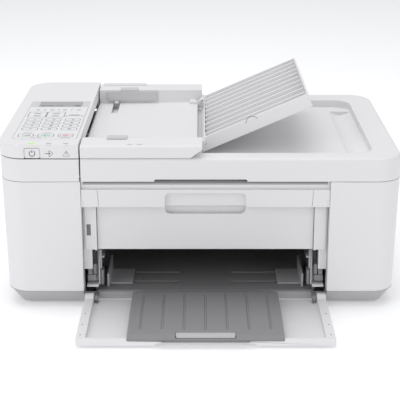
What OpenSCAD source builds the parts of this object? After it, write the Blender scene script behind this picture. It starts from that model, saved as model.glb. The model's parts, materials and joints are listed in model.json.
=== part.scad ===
// All-in-one inkjet printer with an automatic document feeder.
// +X is the printer's right, +Y its back and +Z up; the origin is the centre of the footprint with the
// front tray open, at desk level.

/* [Body] */
// Width of the printer
body_w = 435; // [428:1:560]
// Depth of the printer with its trays folded away
body_d = 295; // [290:1:380]
// Height of the dark base above the desk
base_h = 19.5; // [17:0.5:24]
// Height of the top of the printing unit
case_top = 147; // [146:1:190]
// Radius of the four upright corners
corner_r = 28; // [16:1:40]
// Thickness of the outer plastic walls
wall = 2.5; // [2:0.1:3.2]
// How far the base leans in at the desk
base_inset = 15; // [6:1:18]
// How far each side leans in towards the base
side_taper = 2.3; // [0.5:0.1:4]
// Height of the rubber feet
foot_h = 2.5; // [2:0.1:4]
// Radius of a rubber foot
foot_r = 9; // [6:0.5:12]

/* [Front] */
// Width of the block left of the paper opening
left_block_w = 88; // [84:1:110]
// Width of the block right of the paper opening
right_block_w = 78; // [76:1:110]
// Height of the fascia strip over the output cover
strip_h = 20; // [16:1:26]
// Height of the shadow recess between the strip and the lid
recess_h = 9; // [6:0.5:12]
// Height of the lower edge of the output cover
slot_top = 65; // [63:1:70]
// Width of the finger grip in the strip and the output cover
grip_w = 87.5; // [60:0.5:120]

/* [Paper] */
// Width of the widest sheet
sheet_w = 216; // [200:1:216]
// Height of the sheet's underside under the print heads
print_z = 61.5; // [60:0.5:63]
// Travel of each paper guide from the widest to the narrowest sheet
guide_travel = 58; // [30:1:60]

/* [Trays] */
// Width of the sliding output tray
out_tray_w = 162; // [120:1:170]
// Travel of the output tray and of its support
out_travel = 90; // [60:1:90]
// Width of the sliding support's handle
handle_w = 62; // [40:1:80]
// Thickness of the output tray
out_tray_t = 4; // [3.6:0.1:4.2]

/* [Lid] */
// Height of the document cover
lid_h = 26; // [24:0.5:34]
// Height of the panel housing over the feeder housing
panel_h = 16; // [15:0.5:22]
// Depth of the output recess in the top of the document cover
out_recess = 9; // [7:0.5:10]
// Width of the raised finger edge under the front of the lid
finger_w = 100; // [60:1:140]
// Width of the scanning glass along the printer
glass_w = 300; // [290:1:300]
// Depth of the scanning glass
glass_d = 220; // [216:1:230]
// Thickness of the glass
glass_t = 2.8; // [2:0.1:3.5]

/* [Feeder] */
// Length of the document tray from its hinge
doc_tray_len = 127; // [100:1:127]
// Width of the document tray
doc_tray_w = 194; // [150:1:200]
// Thickness of the document tray
doc_tray_t = 15.5; // [12:0.5:16]
// Slope of the open document tray in degrees
doc_slope = 23.5; // [15:0.5:30]

/* [Clearances] */
// Gap between covers that move against each other
gap = 0.3; // [0.25:0.05:0.6]
// Radial clearance of a shaft or a pin in its bore
run = 0.06; // [0.02:0.01:0.1]
// Half width of the dark seam between the upper housings
seam = 0.75; // [0.3:0.05:0.8]

/* [Hidden] */

$fn = 48;

// Outer planes of the body and of the paper opening
bx = body_w / 2;
by = body_d / 2;
left_x = -bx + left_block_w;
right_x = bx - right_block_w;
mid_x = (left_x + right_x) / 2;

// Front tray: hinge line, reach and the heights that follow from the closed tray
tray_axis_in = 6.5;
tray_axis_y = -by + tray_axis_in;
tray_floor_z = foot_h;
tray_axis_z = tray_floor_z + tray_axis_in;
strip_top = case_top - recess_h;
strip_z = strip_top - strip_h;
tray_len = strip_z - 0.5 - tray_axis_z;
tray_lip_h = 8.4;
tray_t = 2.5;
tray_tip_y = tray_axis_y - tray_len;
arm_w = 10;
tray_x0 = left_x + 0.5;
tray_x1 = right_x - 0.5;

// The origin is half way between the tray's lip and the back
mid_y = (by + tray_tip_y) / 2;

// Posts and output cover
post_w = 12.8;
post_y = -by + 9;
post_in = 2.5;
cover_y = -by + 13.5;
cover_t = 2.5;
cover_x0 = left_x + post_in + post_w + 0.2;
cover_x1 = right_x - post_in - post_w - 0.2;
cover_axis_y = cover_y + cover_t + 0.6;
cover_axis_z = slot_top + 3;
pin_r = 1.5;
grip_r = 5;
grip_x = mid_x;
grip_top = strip_z + 15.6;
grip_bottom = strip_z - 11.5;
grip_depth = 5.5;
strip_y = -by + 1.5;

// Paper deck and guides
bay_y = -by + 20.5;
deck_z = 11;
deck_t = 2;
deck_back = 62;
guide_h = 16;
channel_back = post_y + 20;
channel_z = base_h + 22.5;
channel_w = 7;
guide_y0 = channel_back + gap;
guide_y1 = bay_y + 68;
stack_z = deck_z + deck_t;
runner_in = 20;
slot_in = sheet_w / 2 - runner_in - guide_travel - gap;

// Chassis plates that carry the rollers
frame_t = 2.5;
frame_l = mid_x - sheet_w / 2 - 15.6;
frame_r = mid_x + sheet_w / 2 + 15.6;
frame_z = print_z - 3.5;
feed_y = 42;
feed_r = 6.5;
exit_y = -52;
exit_r = 5.5;
spur_r = 4;
spur_z = print_z + spur_r + 0.3;
spur_xs = [for (i = [0:5]) mid_x - sheet_w / 2 + 14 + i * (sheet_w - 28) / 5];
shaft_r = 3;
turn_y = 95;
turn_r = 20;
turn_z = print_z - 1 - turn_r;
arm_y = deck_back - 10;
arm_z = 46;
pick_y = 14;
pick_r = 11;
pick_z = stack_z + 0.4 + pick_r;

// Print carriage
rail_y = 54;
car_w = 80;
car_y0 = -38;
car_y1 = rail_y - 3;
car_z0 = print_z + 2;
car_z1 = print_z + 50;
park_x = bx - 10 - car_w / 2;
rail_x0 = -bx + 26;
rail_x1 = bx - 7;
bay_w = 35;
bay_d = 62;
belt_y = rail_y + 16;
belt_z = car_z0 + 30;
pulley_r = 6;
motor_x = rail_x0 + 12;
idler_x = rail_x1 - 16;

// Scanner
scan_z = case_top - 28;
scan_front = -by + 9.5;
ledge_z = case_top - 5.4;
glass_z = case_top - 0.6 - glass_t;
glass_x1 = bx - 24.5;
glass_x0 = glass_x1 - glass_w;
strip_glass_w = 16;
strip_glass_x = left_x - 13;
cis_w = 18;
scan_rail_z = scan_z + 6;

// Lid and feeder heights
lid_z = case_top + gap;
lid_top = case_top + lid_h;
recess_z = lid_top - out_recess;
under_z = lid_z + 4;
under_t = 2;
panel_top = lid_top + panel_h;
feeder_top = panel_top - 2;
lid_left = left_x + seam;
housing_right = left_x - seam;
recess_x1 = bx - 29.5;
recess_y0 = -by + 22.5;
recess_y1 = by - 32.5;
hinge_y = by - 3.5;
hinge_z = case_top + 3;
hinge_r = 3;
hinge_cut = 7;
hinge_xs = [lid_left + 22, bx - 45];
housing_top = lid_top - 0.7;
adf_roll_x = strip_glass_x - 26;
adf_roll_z = under_z + under_t + 12;
adf_bearings = [-by + 12, by - 15];
panel_z = lid_top + 0.3;

// Document tray hinge: the closed tray lies flush with the feeder's top
feeder_end = lid_left + 130.25;
doc_axis_x = feeder_end + 0.5;
doc_out = 11.1;
doc_axis_z = panel_top - 0.5 - doc_out;
doc_w2 = doc_tray_w / 2;
throat_w = sheet_w + 6;
floor_z0 = lid_top - 3;
floor_z1 = panel_top - 0.5 - doc_tray_t - 0.9;
floor_x1 = doc_axis_x - 6;
doc_ear_t = 4;

// Panel
panel_axis_x = -bx + 1.9;
panel_axis_z = panel_z + 1.7;
film_x0 = -bx + 14;
film_x1 = housing_right - 3.5;
film_y0 = -by + 21;
film_y1 = by - 102;
film_t = 0.5;
lcd_x0 = film_x0 + 10.5;
lcd_x1 = film_x1 - 9.5;
lcd_y0 = film_y1 - 30;
lcd_y1 = film_y1 - 5;
key_x = -bx + 38;
key_w = 16.4;
key_h = 10.8;
key_r = 1.7;
light_xs = [-bx + 37.5, -bx + 55.7, -bx + 74];

// A box between two limits on each axis
module box(x0, x1, y0, y1, z0, z1) translate([x0, y0, z0]) cube([x1 - x0, y1 - y0, z1 - z0]);

// Rods along each axis
module rod_x(x0, x1, y, z, r) translate([x0, y, z]) rotate([0, 90, 0]) cylinder(h = x1 - x0, r = r);
module rod_y(x, y0, y1, z, r) translate([x, y0, z]) rotate([-90, 0, 0]) cylinder(h = y1 - y0, r = r);
module rod_z(x, y, z0, z1, r) translate([x, y, z0]) cylinder(h = z1 - z0, r = r);

// A rectangle with round corners, by its limits
module round_rect(x0, x1, y0, y1, r) {
  translate([x0 + r, y0]) square([x1 - x0 - 2 * r, y1 - y0]);
  translate([x0, y0 + r]) square([x1 - x0, y1 - y0 - 2 * r]);
  for (x = [x0 + r, x1 - r], y = [y0 + r, y1 - r]) translate([x, y]) circle(r);
}

// A plate with round corners
module round_plate(x0, x1, y0, y1, r, z0, z1)
  translate([0, 0, z0]) linear_extrude(z1 - z0) round_rect(x0, x1, y0, y1, r);

// The body's plan, drawn in by an inset
module body_plate(inset, z0, z1, fn = 64)
  round_plate(-bx + inset, bx - inset, -by + inset, by - inset, max(corner_r - inset, 2), z0, z1, $fn = fn);

// A body plan that leans in from the top to the bottom
module leaning_body(inset_low, inset_high, z0, z1) hull() {
  body_plate(inset_low, z0, z0 + 0.05);
  body_plate(inset_high, z1 - 0.05, z1);
}

// Upright slot in the XZ plane with round corners, cut along Y
module round_slot(x0, x1, z0, z1, r, y0, y1)
  translate([0, y1, 0]) rotate([90, 0, 0]) linear_extrude(y1 - y0) round_rect(x0, x1, z0, z1, r);

// The shared origin
module at_origin() translate([0, -mid_y, 0]) children();

// Screw bosses where the case is fastened to the base
boss_points = [[-bx + 26, by - 30], [bx - 26, by - 30], [-bx + 34, -by + 34], [bx - 34, -by + 34]];
foot_points = [[-bx + 45, by - 45], [bx - 45, by - 45], [-bx + 44, -by + 44], [bx - 44, -by + 44]];

module base_pan() color("#a7a5a8") at_origin() {
  difference() {
    leaning_body(base_inset, side_taper, foot_h, base_h);
    difference() {
      leaning_body(base_inset + wall, side_taper + wall, foot_h + 3, base_h + 0.1);
      box(left_x - wall, right_x + wall, -by, bay_y + wall, 0, base_h + 1);
    }
    box(left_x, right_x, -by - 1, bay_y, 0, base_h + 1);
    box(left_x, right_x, -by - 1, bay_y + wall + 0.1, deck_z, base_h + 1);
  }
  for (p = boss_points) difference() {
    rod_z(p[0], p[1], foot_h + 3, base_h - 0.5, 5);
    rod_z(p[0], p[1], foot_h + 4, base_h, 1.5);
  }
}

module rubber_feet() color("#3a3a3c") at_origin()
  for (p = foot_points) translate([p[0], p[1], 0])
    rotate_extrude() polygon([[0, 0], [foot_r - 0.8, 0], [foot_r, 0.8], [foot_r, foot_h], [0, foot_h]]);

rear_open = [mid_x - 105, mid_x + 105, base_h + 3, base_h + 58];
inlet = [-bx + 28, -bx + 56, base_h + 6, base_h + 28];
ports = [bx - 78, bx - 26, base_h + 10, base_h + 50];

module case_shell() difference() {
  leaning_body(side_taper, 0, base_h, case_top);
  difference() {
    body_plate(side_taper + wall, base_h - 1, case_top + 1);
    box(left_x - wall, left_x, -by, post_y + 12, 0, case_top + 2);
    box(right_x, right_x + wall, -by, post_y + 12, 0, case_top + 2);
  }
  box(left_x, right_x, -by - 1, -by + 12, 0, case_top + 1);
  box(rear_open[0], rear_open[1], by - 10, by + 1, rear_open[2], rear_open[3]);
  box(inlet[0], inlet[1], by - 10, by + 1, inlet[2], inlet[3]);
  box(ports[0], ports[1], by - 10, by + 1, ports[2], ports[3]);
  for (i = [0:9]) round_slot(bx - 70 - 9 * i, bx - 66 - 9 * i, 96, 118, 1.9, by - 10, by + 1);
  for (x = hinge_xs) box(x - 14, x + 14, by - 9, by + 1, case_top - 9, case_top + 1);
}

// Lugs and pins of the rear cover, moulded on the case
module main_case() color("#f2f1f3") at_origin() {
  case_shell();
  for (side = [0, 1]) {
    edge = rear_open[side];
    lug = side == 0 ? edge - 3 : edge;
    pin = side == 0 ? edge : edge - 10.6;
    box(lug, lug + 3, rear_axis_y - 3, by - wall - side_taper, rear_axis_z - 3, rear_axis_z + 3);
    rod_x(pin, pin + 10.6, rear_axis_y, rear_axis_z, 1.5);
  }
}

module front_frame() color("#eceaed") at_origin() {
  difference() {
    union() {
      box(left_x + 0.3, right_x - 0.3, strip_y, strip_y + 3, strip_z, strip_top);
      box(left_x + 0.3, right_x - 0.3, strip_y + 2.8, strip_y + 5, strip_top - 2.5, case_top - 0.5);
      box(cover_x0 + 4, cover_x1 - 4, strip_y + 3, strip_y + 15, strip_z + 1, strip_z + 3);
      box(grip_x - grip_w / 2 - 2, grip_x + grip_w / 2 + 2, strip_y + 3, strip_y + grip_depth + 2,
        strip_z, grip_top + 2);
    }
    round_slot(grip_x - grip_w / 2, grip_x + grip_w / 2, strip_z - 12, grip_top, grip_r,
      strip_y - 1, strip_y + grip_depth);
    translate([left_x + 19, strip_y - 0.01, strip_z - 1]) rotate([0, -4, 0]) cube([0.6, 1.2, strip_h + 3]);
    translate([right_x - 19.6, strip_y - 0.01, strip_z - 1]) rotate([0, 4, 0]) cube([0.6, 1.2, strip_h + 3]);
  }
  // Posts on both sides of the output cover, with their channels below
  for (side = [0, 1]) {
    px = side == 0 ? left_x + post_in : right_x - post_in - post_w;
    inner = side == 0 ? px + post_w : px;
    outer = side == 0 ? px : px + post_w - channel_w;
    difference() {
      union() {
        box(px, px + post_w, post_y, post_y + 3, slot_top + 1, strip_z);
        box(px, px + post_w, post_y + 3, post_y + 12, slot_top + 1, slot_top + 9);
        box(outer, outer + channel_w, post_y + 3, post_y + 5.5, channel_z, slot_top + 2);
        box(px, px + 2.5, post_y + 3, channel_back, side == 0 ? channel_z : slot_top - 1, strip_z);
        box(px + post_w - 2.5, px + post_w, post_y + 3, channel_back, side == 1 ? channel_z : slot_top - 1,
          strip_z);
        // Flange that closes the gap beside the case
        box(side == 0 ? left_x + 0.3 : px + post_w - 1, side == 0 ? px + 1 : right_x - 0.3,
          post_y + 3, post_y + 5.5, channel_z, strip_z);
        box(px, px + post_w, channel_back - 2.5, channel_back, base_h + 3, strip_z);
        box(px, px + post_w, post_y + 4, channel_back, base_h + 0.5, base_h + 3);
      }
      rod_x(inner - 4, inner + 4, cover_axis_y, cover_axis_z, pin_r + run);
    }
  }
  // White catches at the outer ends of the strip
  box(left_x + 0.3, left_x + 2.3, strip_y - 0.6, strip_y, strip_z, strip_z + 8);
  box(right_x - 2.3, right_x - 0.3, strip_y - 0.6, strip_y, strip_z, strip_z + 8);
}

bracket_w = 4.5;
module tray_hinge_brackets() color("#8d8b90") at_origin() for (side = [0, 1]) {
  x = side == 0 ? tray_x0 + arm_w + gap : tray_x1 - arm_w - gap - bracket_w;
  x_pin = side == 0 ? x - gap - arm_w + 1 : x + bracket_w;
  rod_x(x, x + bracket_w, tray_axis_y, tray_axis_z, 3.6);
  box(x, x + bracket_w, tray_axis_y, bay_y, tray_axis_z - 2.5, tray_axis_z + 2);
  rod_x(x_pin, x_pin + gap + arm_w - 1, tray_axis_y, tray_axis_z, 2.5);
}

module paper_output_cover() color("#e9e7ec") at_origin() {
  x0 = cover_x0 + gap;
  x1 = cover_x1 - gap;
  top = strip_z - gap;
  gx0 = grip_x - grip_w / 2;
  gx1 = grip_x + grip_w / 2;
  difference() {
    union() {
      box(x0, x1, cover_y, cover_y + cover_t, slot_top, top);
      box(gx0 - 2, gx1 + 2, cover_y + cover_t, cover_y + 7, grip_bottom - 2, top);
      for (x = [x0, x1 - 6]) rod_x(x, x + 6, cover_axis_y, cover_axis_z, 2.4);
      for (i = [0:5]) {
        x = x0 + 18 + i * (x1 - x0 - 38) / 5;
        box(x, x + 2, cover_y + cover_t, cover_y + 5.5, slot_top + 1, grip_bottom - 2);
      }
    }
    round_slot(gx0, gx1, grip_bottom, top + 20, grip_r, cover_y - 1, cover_y + 5);
  }
  rod_x(x0 - gap - 1.8, x0, cover_axis_y, cover_axis_z, pin_r);
  rod_x(x1, x1 + gap + 1.8, cover_axis_y, cover_axis_z, pin_r);
}

rail_w = 6;
rail_len = 18;
out_x0 = mid_x - out_tray_w / 2;
out_x1 = mid_x + out_tray_w / 2;
out_z = tray_floor_z + tray_lip_h + gap;
out_front = tray_tip_y + 6.5;
out_back = tray_axis_y + 5;

lip_seat = 3;
apron_w = 86;

module front_tray() color("#ebe9ec") at_origin() {
  lip_top = tray_floor_z + tray_lip_h;
  difference() {
    union() {
      box(tray_x0, tray_x1, tray_tip_y, tray_axis_y + 6, tray_floor_z, tray_floor_z + tray_t);
      box(tray_x0, tray_x1, tray_tip_y, tray_tip_y + 3.5, tray_floor_z, lip_top);
      for (x = [tray_x0, tray_x1 - arm_w]) {
        box(x, x + arm_w, tray_tip_y, tray_axis_y, tray_floor_z, lip_top);
        rod_x(x, x + arm_w, tray_axis_y, tray_axis_z, 6);
      }
      // Guide ribs of the output tray's rails
      for (x = [out_x0 + 8, out_x1 - 8 - rail_w])
        for (dx = [-gap - 2, rail_w + gap])
          box(x + dx, x + dx + 2, tray_tip_y + 3, tray_axis_y + 3, tray_floor_z + tray_t, lip_top);
      for (i = [0:4]) {
        x = out_x0 + 30 + i * (out_tray_w - 62) / 4;
        box(x, x + 2, tray_tip_y + 3, tray_axis_y + 3, tray_floor_z + tray_t, lip_top - 1);
      }
    }
    for (x = [tray_x0, tray_x1 - arm_w])
      rod_x(x - 1, x + arm_w + 1, tray_axis_y, tray_axis_z, 2.5 + run);
    // Seat of the output tray in the lip, open in the middle for the fingers
    box(out_x0 - gap, out_x1 + gap, tray_tip_y - 1, tray_tip_y + 4, lip_top - lip_seat, lip_top + 1);
    box(mid_x - apron_w / 2 - gap, mid_x + apron_w / 2 + gap, tray_tip_y - 1, tray_tip_y + 4,
      tray_floor_z - 1, lip_top + 1);
    translate([0, tray_tip_y + 4, 0]) rotate([90, 0, 0]) linear_extrude(5) polygon([
      [mid_x - apron_w / 2 - 9, tray_floor_z - 1], [mid_x + apron_w / 2 + 9, tray_floor_z - 1],
      [mid_x + apron_w / 2 + 9, tray_floor_z + 2.2], [mid_x + apron_w / 2, tray_floor_z + 5],
      [mid_x - apron_w / 2, tray_floor_z + 5], [mid_x - apron_w / 2 - 9, tray_floor_z + 2.2]]);
    // Room for the hinge brackets
    for (x = [tray_x0 + arm_w, tray_x1 - arm_w - bracket_w - 2 * gap])
      box(x, x + bracket_w + 2 * gap, tray_axis_y - 8, tray_axis_y + 7, tray_floor_z + 1.2, lip_top + 1);
  }
}

slot_z = out_z + 1;
slot_h = 1.8;
seat_z = tray_floor_z + tray_lip_h - lip_seat + gap;
module output_tray() color("#8f8e93") at_origin() difference() {
  union() {
    round_plate(out_x0, out_x1, out_front, out_back, 4, out_z, out_z + out_tray_t);
    box(out_x0, out_x1, out_front, out_front + 6, out_z, out_z + out_tray_t);
    // Front edge seated in the lip, with an apron in its opening
    box(out_x0, out_x1, tray_tip_y + 0.4, tray_tip_y + 3.6, seat_z, out_z - 0.1);
    box(mid_x - apron_w / 2, mid_x + apron_w / 2, tray_tip_y + 0.8, tray_tip_y + 3.2,
      tray_floor_z + 3.5, out_z - 0.2);
    for (x = [out_x0, mid_x + handle_w / 2 + gap]) {
      box(x, x + (out_tray_w - handle_w) / 2 - gap, tray_tip_y + 0.4, tray_tip_y + 3.6, seat_z,
        out_z + out_tray_t);
      box(x, x + (out_tray_w - handle_w) / 2 - gap, tray_tip_y + 3, out_front + 1, out_z,
        out_z + out_tray_t);
    }
    for (x = [out_x0 + 8, out_x1 - 8 - rail_w])
      box(x, x + rail_w, out_back - rail_len, out_back - 1, tray_floor_z + tray_t + gap, out_z);
  }
  box(mid_x - handle_w / 2 - gap, mid_x + handle_w / 2 + gap, out_front - 1, out_back - 3,
    slot_z, slot_z + slot_h);
  for (i = [0:6]) {
    x = out_x0 + 12 + i * (out_tray_w - 26) / 6;
    box(x, x + 2, out_front + 8, out_back - 8, out_z + out_tray_t - 0.5, out_z + out_tray_t + 1);
  }
}

module output_support() color("#b4b3b7") at_origin() {
  box(mid_x - handle_w / 2, mid_x + handle_w / 2, out_front, out_back - 5,
    slot_z + gap, slot_z + slot_h - gap);
  round_plate(mid_x - handle_w / 2, mid_x + handle_w / 2, tray_tip_y + 0.5, out_front - gap, 2.4,
    out_z + 0.2, out_z + out_tray_t);
  box(mid_x - handle_w / 2 + 3, mid_x + handle_w / 2 - 3, out_front - gap, out_front,
    slot_z + gap, slot_z + slot_h - gap);
}

module paper_deck() color("#77767b") at_origin() difference() {
  union() {
    box(frame_l + frame_t, frame_r - frame_t, bay_y + 0.3, deck_back, deck_z, stack_z);
    box(frame_l + frame_t, frame_r - frame_t, deck_back - 2, deck_back, foot_h + 3, deck_z);
    for (i = [0:4]) {
      x = frame_l + 20 + i * (frame_r - frame_l - 42) / 4;
      box(x, x + 2, bay_y + 6, deck_back - 2, foot_h + 3, deck_z);
    }
  }
  for (y = [guide_y0 + 14, guide_y1 - 18])
    for (side = [-1, 1])
      box(min(mid_x + side * slot_in, mid_x + side * (sheet_w / 2 - 2)),
        max(mid_x + side * slot_in, mid_x + side * (sheet_w / 2 - 2)), y - 0.3, y + 4.3,
        deck_z - 1, stack_z + 1);
}

// One paper guide: an upright fence, a foot plate on the deck and two runners in the deck's slots
module paper_guide(side) {
  edge = mid_x + side * (sheet_w / 2 + gap);
  x0 = min(edge, edge + side * 2.5);
  foot = edge - side * 26;
  box(x0, x0 + 2.5, guide_y0, guide_y1, stack_z + gap, stack_z + guide_h);
  box(min(edge, foot), max(edge, foot), guide_y0 + 8, guide_y1 - 8, stack_z + gap, stack_z + 1.8);
  for (y = [guide_y0 + 14, guide_y1 - 18]) {
    r0 = edge - side * 8;
    r1 = edge - side * runner_in;
    box(min(r0, r1), max(r0, r1), y, y + 4, deck_z + 0.2, stack_z + gap);
  }
}
module paper_guide_left() color("#bdbcc1") at_origin() paper_guide(-1);
module paper_guide_right() color("#bdbcc1") at_origin() paper_guide(1);

module side_frames() color("#c9c8cc") at_origin() difference() {
  union() {
    for (x = [frame_l, frame_r - frame_t]) {
      box(x, x + frame_t, post_y + 20.3, by - 21, foot_h + 3, frame_z - 14);
      box(x, x + frame_t, exit_y - 10, turn_y + turn_r + 3, frame_z - 14, frame_z);
      box(x, x + frame_t, exit_y - 10, exit_y + 4, frame_z, print_z + 12);
    }
    // Beam over the paper exit
    box(frame_l, frame_r, exit_y - 10, exit_y - 8, print_z + 1, print_z + 12);
  }
  for (yz = [[feed_y, print_z - feed_r], [exit_y, print_z - exit_r], [turn_y, turn_z]])
    rod_x(frame_l - 1, frame_r + 1, yz[0], yz[1], shaft_r + run);
  rod_x(frame_l - 1, frame_r + 1, arm_y, arm_z, 2.5 + run);
  rod_x(frame_l - 1, frame_r + 1, exit_y, spur_z, 1 + run);
}

module pickup_arm() color("#5d5c61") at_origin() {
  x0 = mid_x - 22;
  difference() {
    union() for (x = [x0, x0 + 40]) {
      hull() {
        rod_x(x, x + 4, arm_y, arm_z, 4, $fn = 32);
        rod_x(x, x + 4, pick_y, pick_z, 4, $fn = 32);
      }
    }
    for (x = [x0, x0 + 40]) {
      rod_x(x - 1, x + 5, arm_y, arm_z, 3);
      rod_x(x - 1, x + 5, pick_y, pick_z, 2 + run);
    }
  }
  for (x = [x0, x0 + 40]) difference() {
    rod_x(x, x + 4, arm_y, arm_z, 3);
    rod_x(x - 1, x + 5, arm_y, arm_z, 2.5);
  }
  box(x0 + 4, x0 + 40, (arm_y + pick_y) / 2 - 3, (arm_y + pick_y) / 2 + 3, arm_z - 4, arm_z - 1.5);
  rod_x(frame_l, frame_r, arm_y, arm_z, 2.5);
}

module pickup_roller() color("#3f3f42") at_origin() {
  rod_x(mid_x - 17, mid_x + 17, pick_y, pick_z, pick_r);
  rod_x(mid_x - 22, mid_x + 22, pick_y, pick_z, 2);
}

roller_len = sheet_w + 4;
module feed_roller() color("#6b6b6f") at_origin() {
  rod_x(mid_x - roller_len / 2, mid_x + roller_len / 2, feed_y, print_z - feed_r, feed_r);
  rod_x(frame_l - 16, frame_r + 3, feed_y, print_z - feed_r, shaft_r);
}

pinch_z = print_z + 4.5;
pinch_xs = [for (i = [0:3]) mid_x - sheet_w / 2 + 18 + i * (sheet_w - 36) / 3];
module pinch_rollers() color("#dcdce0") at_origin() for (x = pinch_xs) {
  rod_x(x - 13, x + 13, feed_y + 1, pinch_z, 4.2);
  rod_x(x - 17, x + 17, feed_y + 1, pinch_z, 1.5);
}

module exit_roller() color("#4b4b4f") at_origin() {
  rod_x(frame_l - 16, frame_r + 3, exit_y, print_z - exit_r, shaft_r);
  for (x = spur_xs) rod_x(x - 5, x + 5, exit_y, print_z - exit_r, exit_r);
}

module star_wheels() color("#c4c4c8") at_origin() {
  rod_x(frame_l, frame_r, exit_y, spur_z, 1);
  for (x = spur_xs) rod_x(x - 0.6, x + 0.6, exit_y, spur_z, spur_r);
}

module turn_roller() color("#6b6b6f") at_origin() {
  rod_x(frame_l - 3, frame_r + 3, turn_y, turn_z, shaft_r);
  for (i = [0:2]) {
    x = mid_x - 70 + i * 70;
    rod_x(x - 15, x + 15, turn_y, turn_z, turn_r);
  }
}

gear_x = frame_l - 12;
gear_t = 6;
module gear_disc(y, z, teeth, pitch_r, bore) difference() {
  union() {
    rod_x(gear_x, gear_x + gear_t, y, z, pitch_r - 1.2);
    for (k = [0:teeth - 1]) translate([gear_x, y, z]) rotate([k * 360 / teeth, 0, 0])
      box(0, gear_t, -0.5, 0.5, pitch_r - 2, pitch_r + 0.8);
  }
  rod_x(gear_x - 1, gear_x + gear_t + 1, y, z, bore);
}
module feed_gear() color("#e3e2e6") at_origin()
  gear_disc(feed_y, print_z - feed_r, 18, 7, shaft_r);

module feed_motor() color("#98989c") at_origin() {
  rod_x(gear_x + 2, frame_l, feed_y - 34, print_z - 22, 12);
  rod_x(gear_x - 2, gear_x + 2, feed_y - 34, print_z - 22, 2);
}

module print_platen() color("#3c3c40") at_origin() {
  box(frame_l + frame_t, frame_r - frame_t, exit_y + 9, feed_y - 9, print_z - 9, print_z - 3);
  for (i = [0:12]) {
    x = mid_x - sheet_w / 2 + 6 + i * (sheet_w - 14) / 12;
    box(x, x + 2, exit_y + 9, feed_y - 9, print_z - 3, print_z - 0.6);
  }
}

module carriage_rail() color("#b9babd") at_origin() difference() {
  union() {
    box(rail_x0, rail_x1, rail_y + 0.2, rail_y + 2.2, print_z + 12, car_z1);
    box(rail_x0, rail_x1, rail_y + 2.2, rail_y + 10, car_z1 - 2, car_z1);
    for (x = [frame_l, frame_r - frame_t])
      box(x, x + frame_t, rail_y + 0.2, rail_y + 10, frame_z, print_z + 12);
    // Bracket and pin of the idler pulley
    box(idler_x - 4, idler_x + 4, rail_y + 2.2, belt_y + 4, belt_z - 8, belt_z - 6);
    rod_z(idler_x, belt_y, belt_z - 6, belt_z + 6, 1.5);
  }
  for (i = [0:4]) round_slot(rail_x0 + 40 + 80 * i, rail_x0 + 64 + 80 * i, car_z1 - 14, car_z1 - 6, 2,
    rail_y, rail_y + 3);
}

// Brackets under the rail that hold the pinch rollers on the feed roller
module pinch_brackets() color("#b9babd") at_origin() for (x = pinch_xs) difference() {
  union() {
    box(x - 17, x + 17, rail_y + 0.2, rail_y + 2.2, pinch_z - 3, print_z + 12);
    for (dx = [-17, 15]) box(x + dx, x + dx + 2, feed_y - 2.5, rail_y + 0.2, pinch_z - 3, pinch_z + 5);
  }
  rod_x(x - 18, x + 18, feed_y + 1, pinch_z, 1.5 + run);
}

// The carriage is parked over the maintenance station
module print_carriage() color("#4a4a4e") at_origin() {
  x0 = park_x - car_w / 2;
  difference() {
    box(x0, x0 + car_w, car_y0, car_y1, car_z0, car_z1 - 1);
    box(x0 - 1, x0 + car_w + 1, car_y0 + bay_d + 8, car_y1 + 1, car_z0 - 1, print_z + 14);
    for (i = [0, 1]) {
      bay = x0 + 3.5 + i * (bay_w + 3);
      box(bay, bay + bay_w, car_y0 - 1, car_y0 + bay_d, car_z0 + 3, car_z1);
      box(bay + 8, bay + bay_w - 8, car_y0 + 10, car_y0 + 34, car_z0 - 1, car_z0 + 4);
    }
  }
  box(x0 + 4, x0 + car_w - 4, car_y1, rail_y - 0.1, car_z1 - 6, car_z1 - 1);
  for (x = [x0 + 8, x0 + car_w - 14]) box(x, x + 6, rail_y - 0.1, belt_y + 2, car_z1 + 0.4, car_z1 + 3);
  for (x = [x0 + 8, x0 + car_w - 14]) box(x, x + 6, car_y1 - 6, rail_y - 0.1, car_z1 - 1, car_z1 + 3);
}

module cartridge(i) {
  x0 = park_x - car_w / 2 + 3.5 + i * (bay_w + 3) + 0.8;
  w = bay_w - 1.6;
  box(x0, x0 + w, car_y0 + 6, car_y0 + bay_d - 1, car_z0 + 3.4, car_z1 - 8);
  box(x0 + 8, x0 + w - 8, car_y0 + 12, car_y0 + 32, car_z0 + 0.6, car_z0 + 3.4);
  box(x0 + 3, x0 + w - 3, car_y0 + 4, car_y0 + 6, car_z0 + 8, car_z1 - 20);
}
module cartridge_black() color("#2f2f33") at_origin() cartridge(1);
module cartridge_colour() color("#55555c") at_origin() cartridge(0);

lock_z = car_z1 - 6;
module cartridge_lock(i) {
  x0 = park_x - car_w / 2 + 3.5 + i * (bay_w + 3) + 1;
  w = bay_w - 2;
  difference() {
    union() {
      rod_x(x0, x0 + w, car_y0 + 30, lock_z + 2, 2.6);
      box(x0 + 2, x0 + w - 2, car_y0 - 2, car_y0 + 30, lock_z + 1.4, lock_z + 3.6);
      box(x0 + 4, x0 + w - 4, car_y0 - 4, car_y0 - 2, lock_z - 9, lock_z + 3.6);
    }
    rod_x(x0 - 1, x0 + w + 1, car_y0 + 30, lock_z + 2, 1.2);
  }
  rod_x(x0 - 0.9, x0 + w + 0.9, car_y0 + 30, lock_z + 2, 1.2);
}
module cartridge_lock_left() color("#8b8b90") at_origin() cartridge_lock(0);
module cartridge_lock_right() color("#8b8b90") at_origin() cartridge_lock(1);

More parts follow.
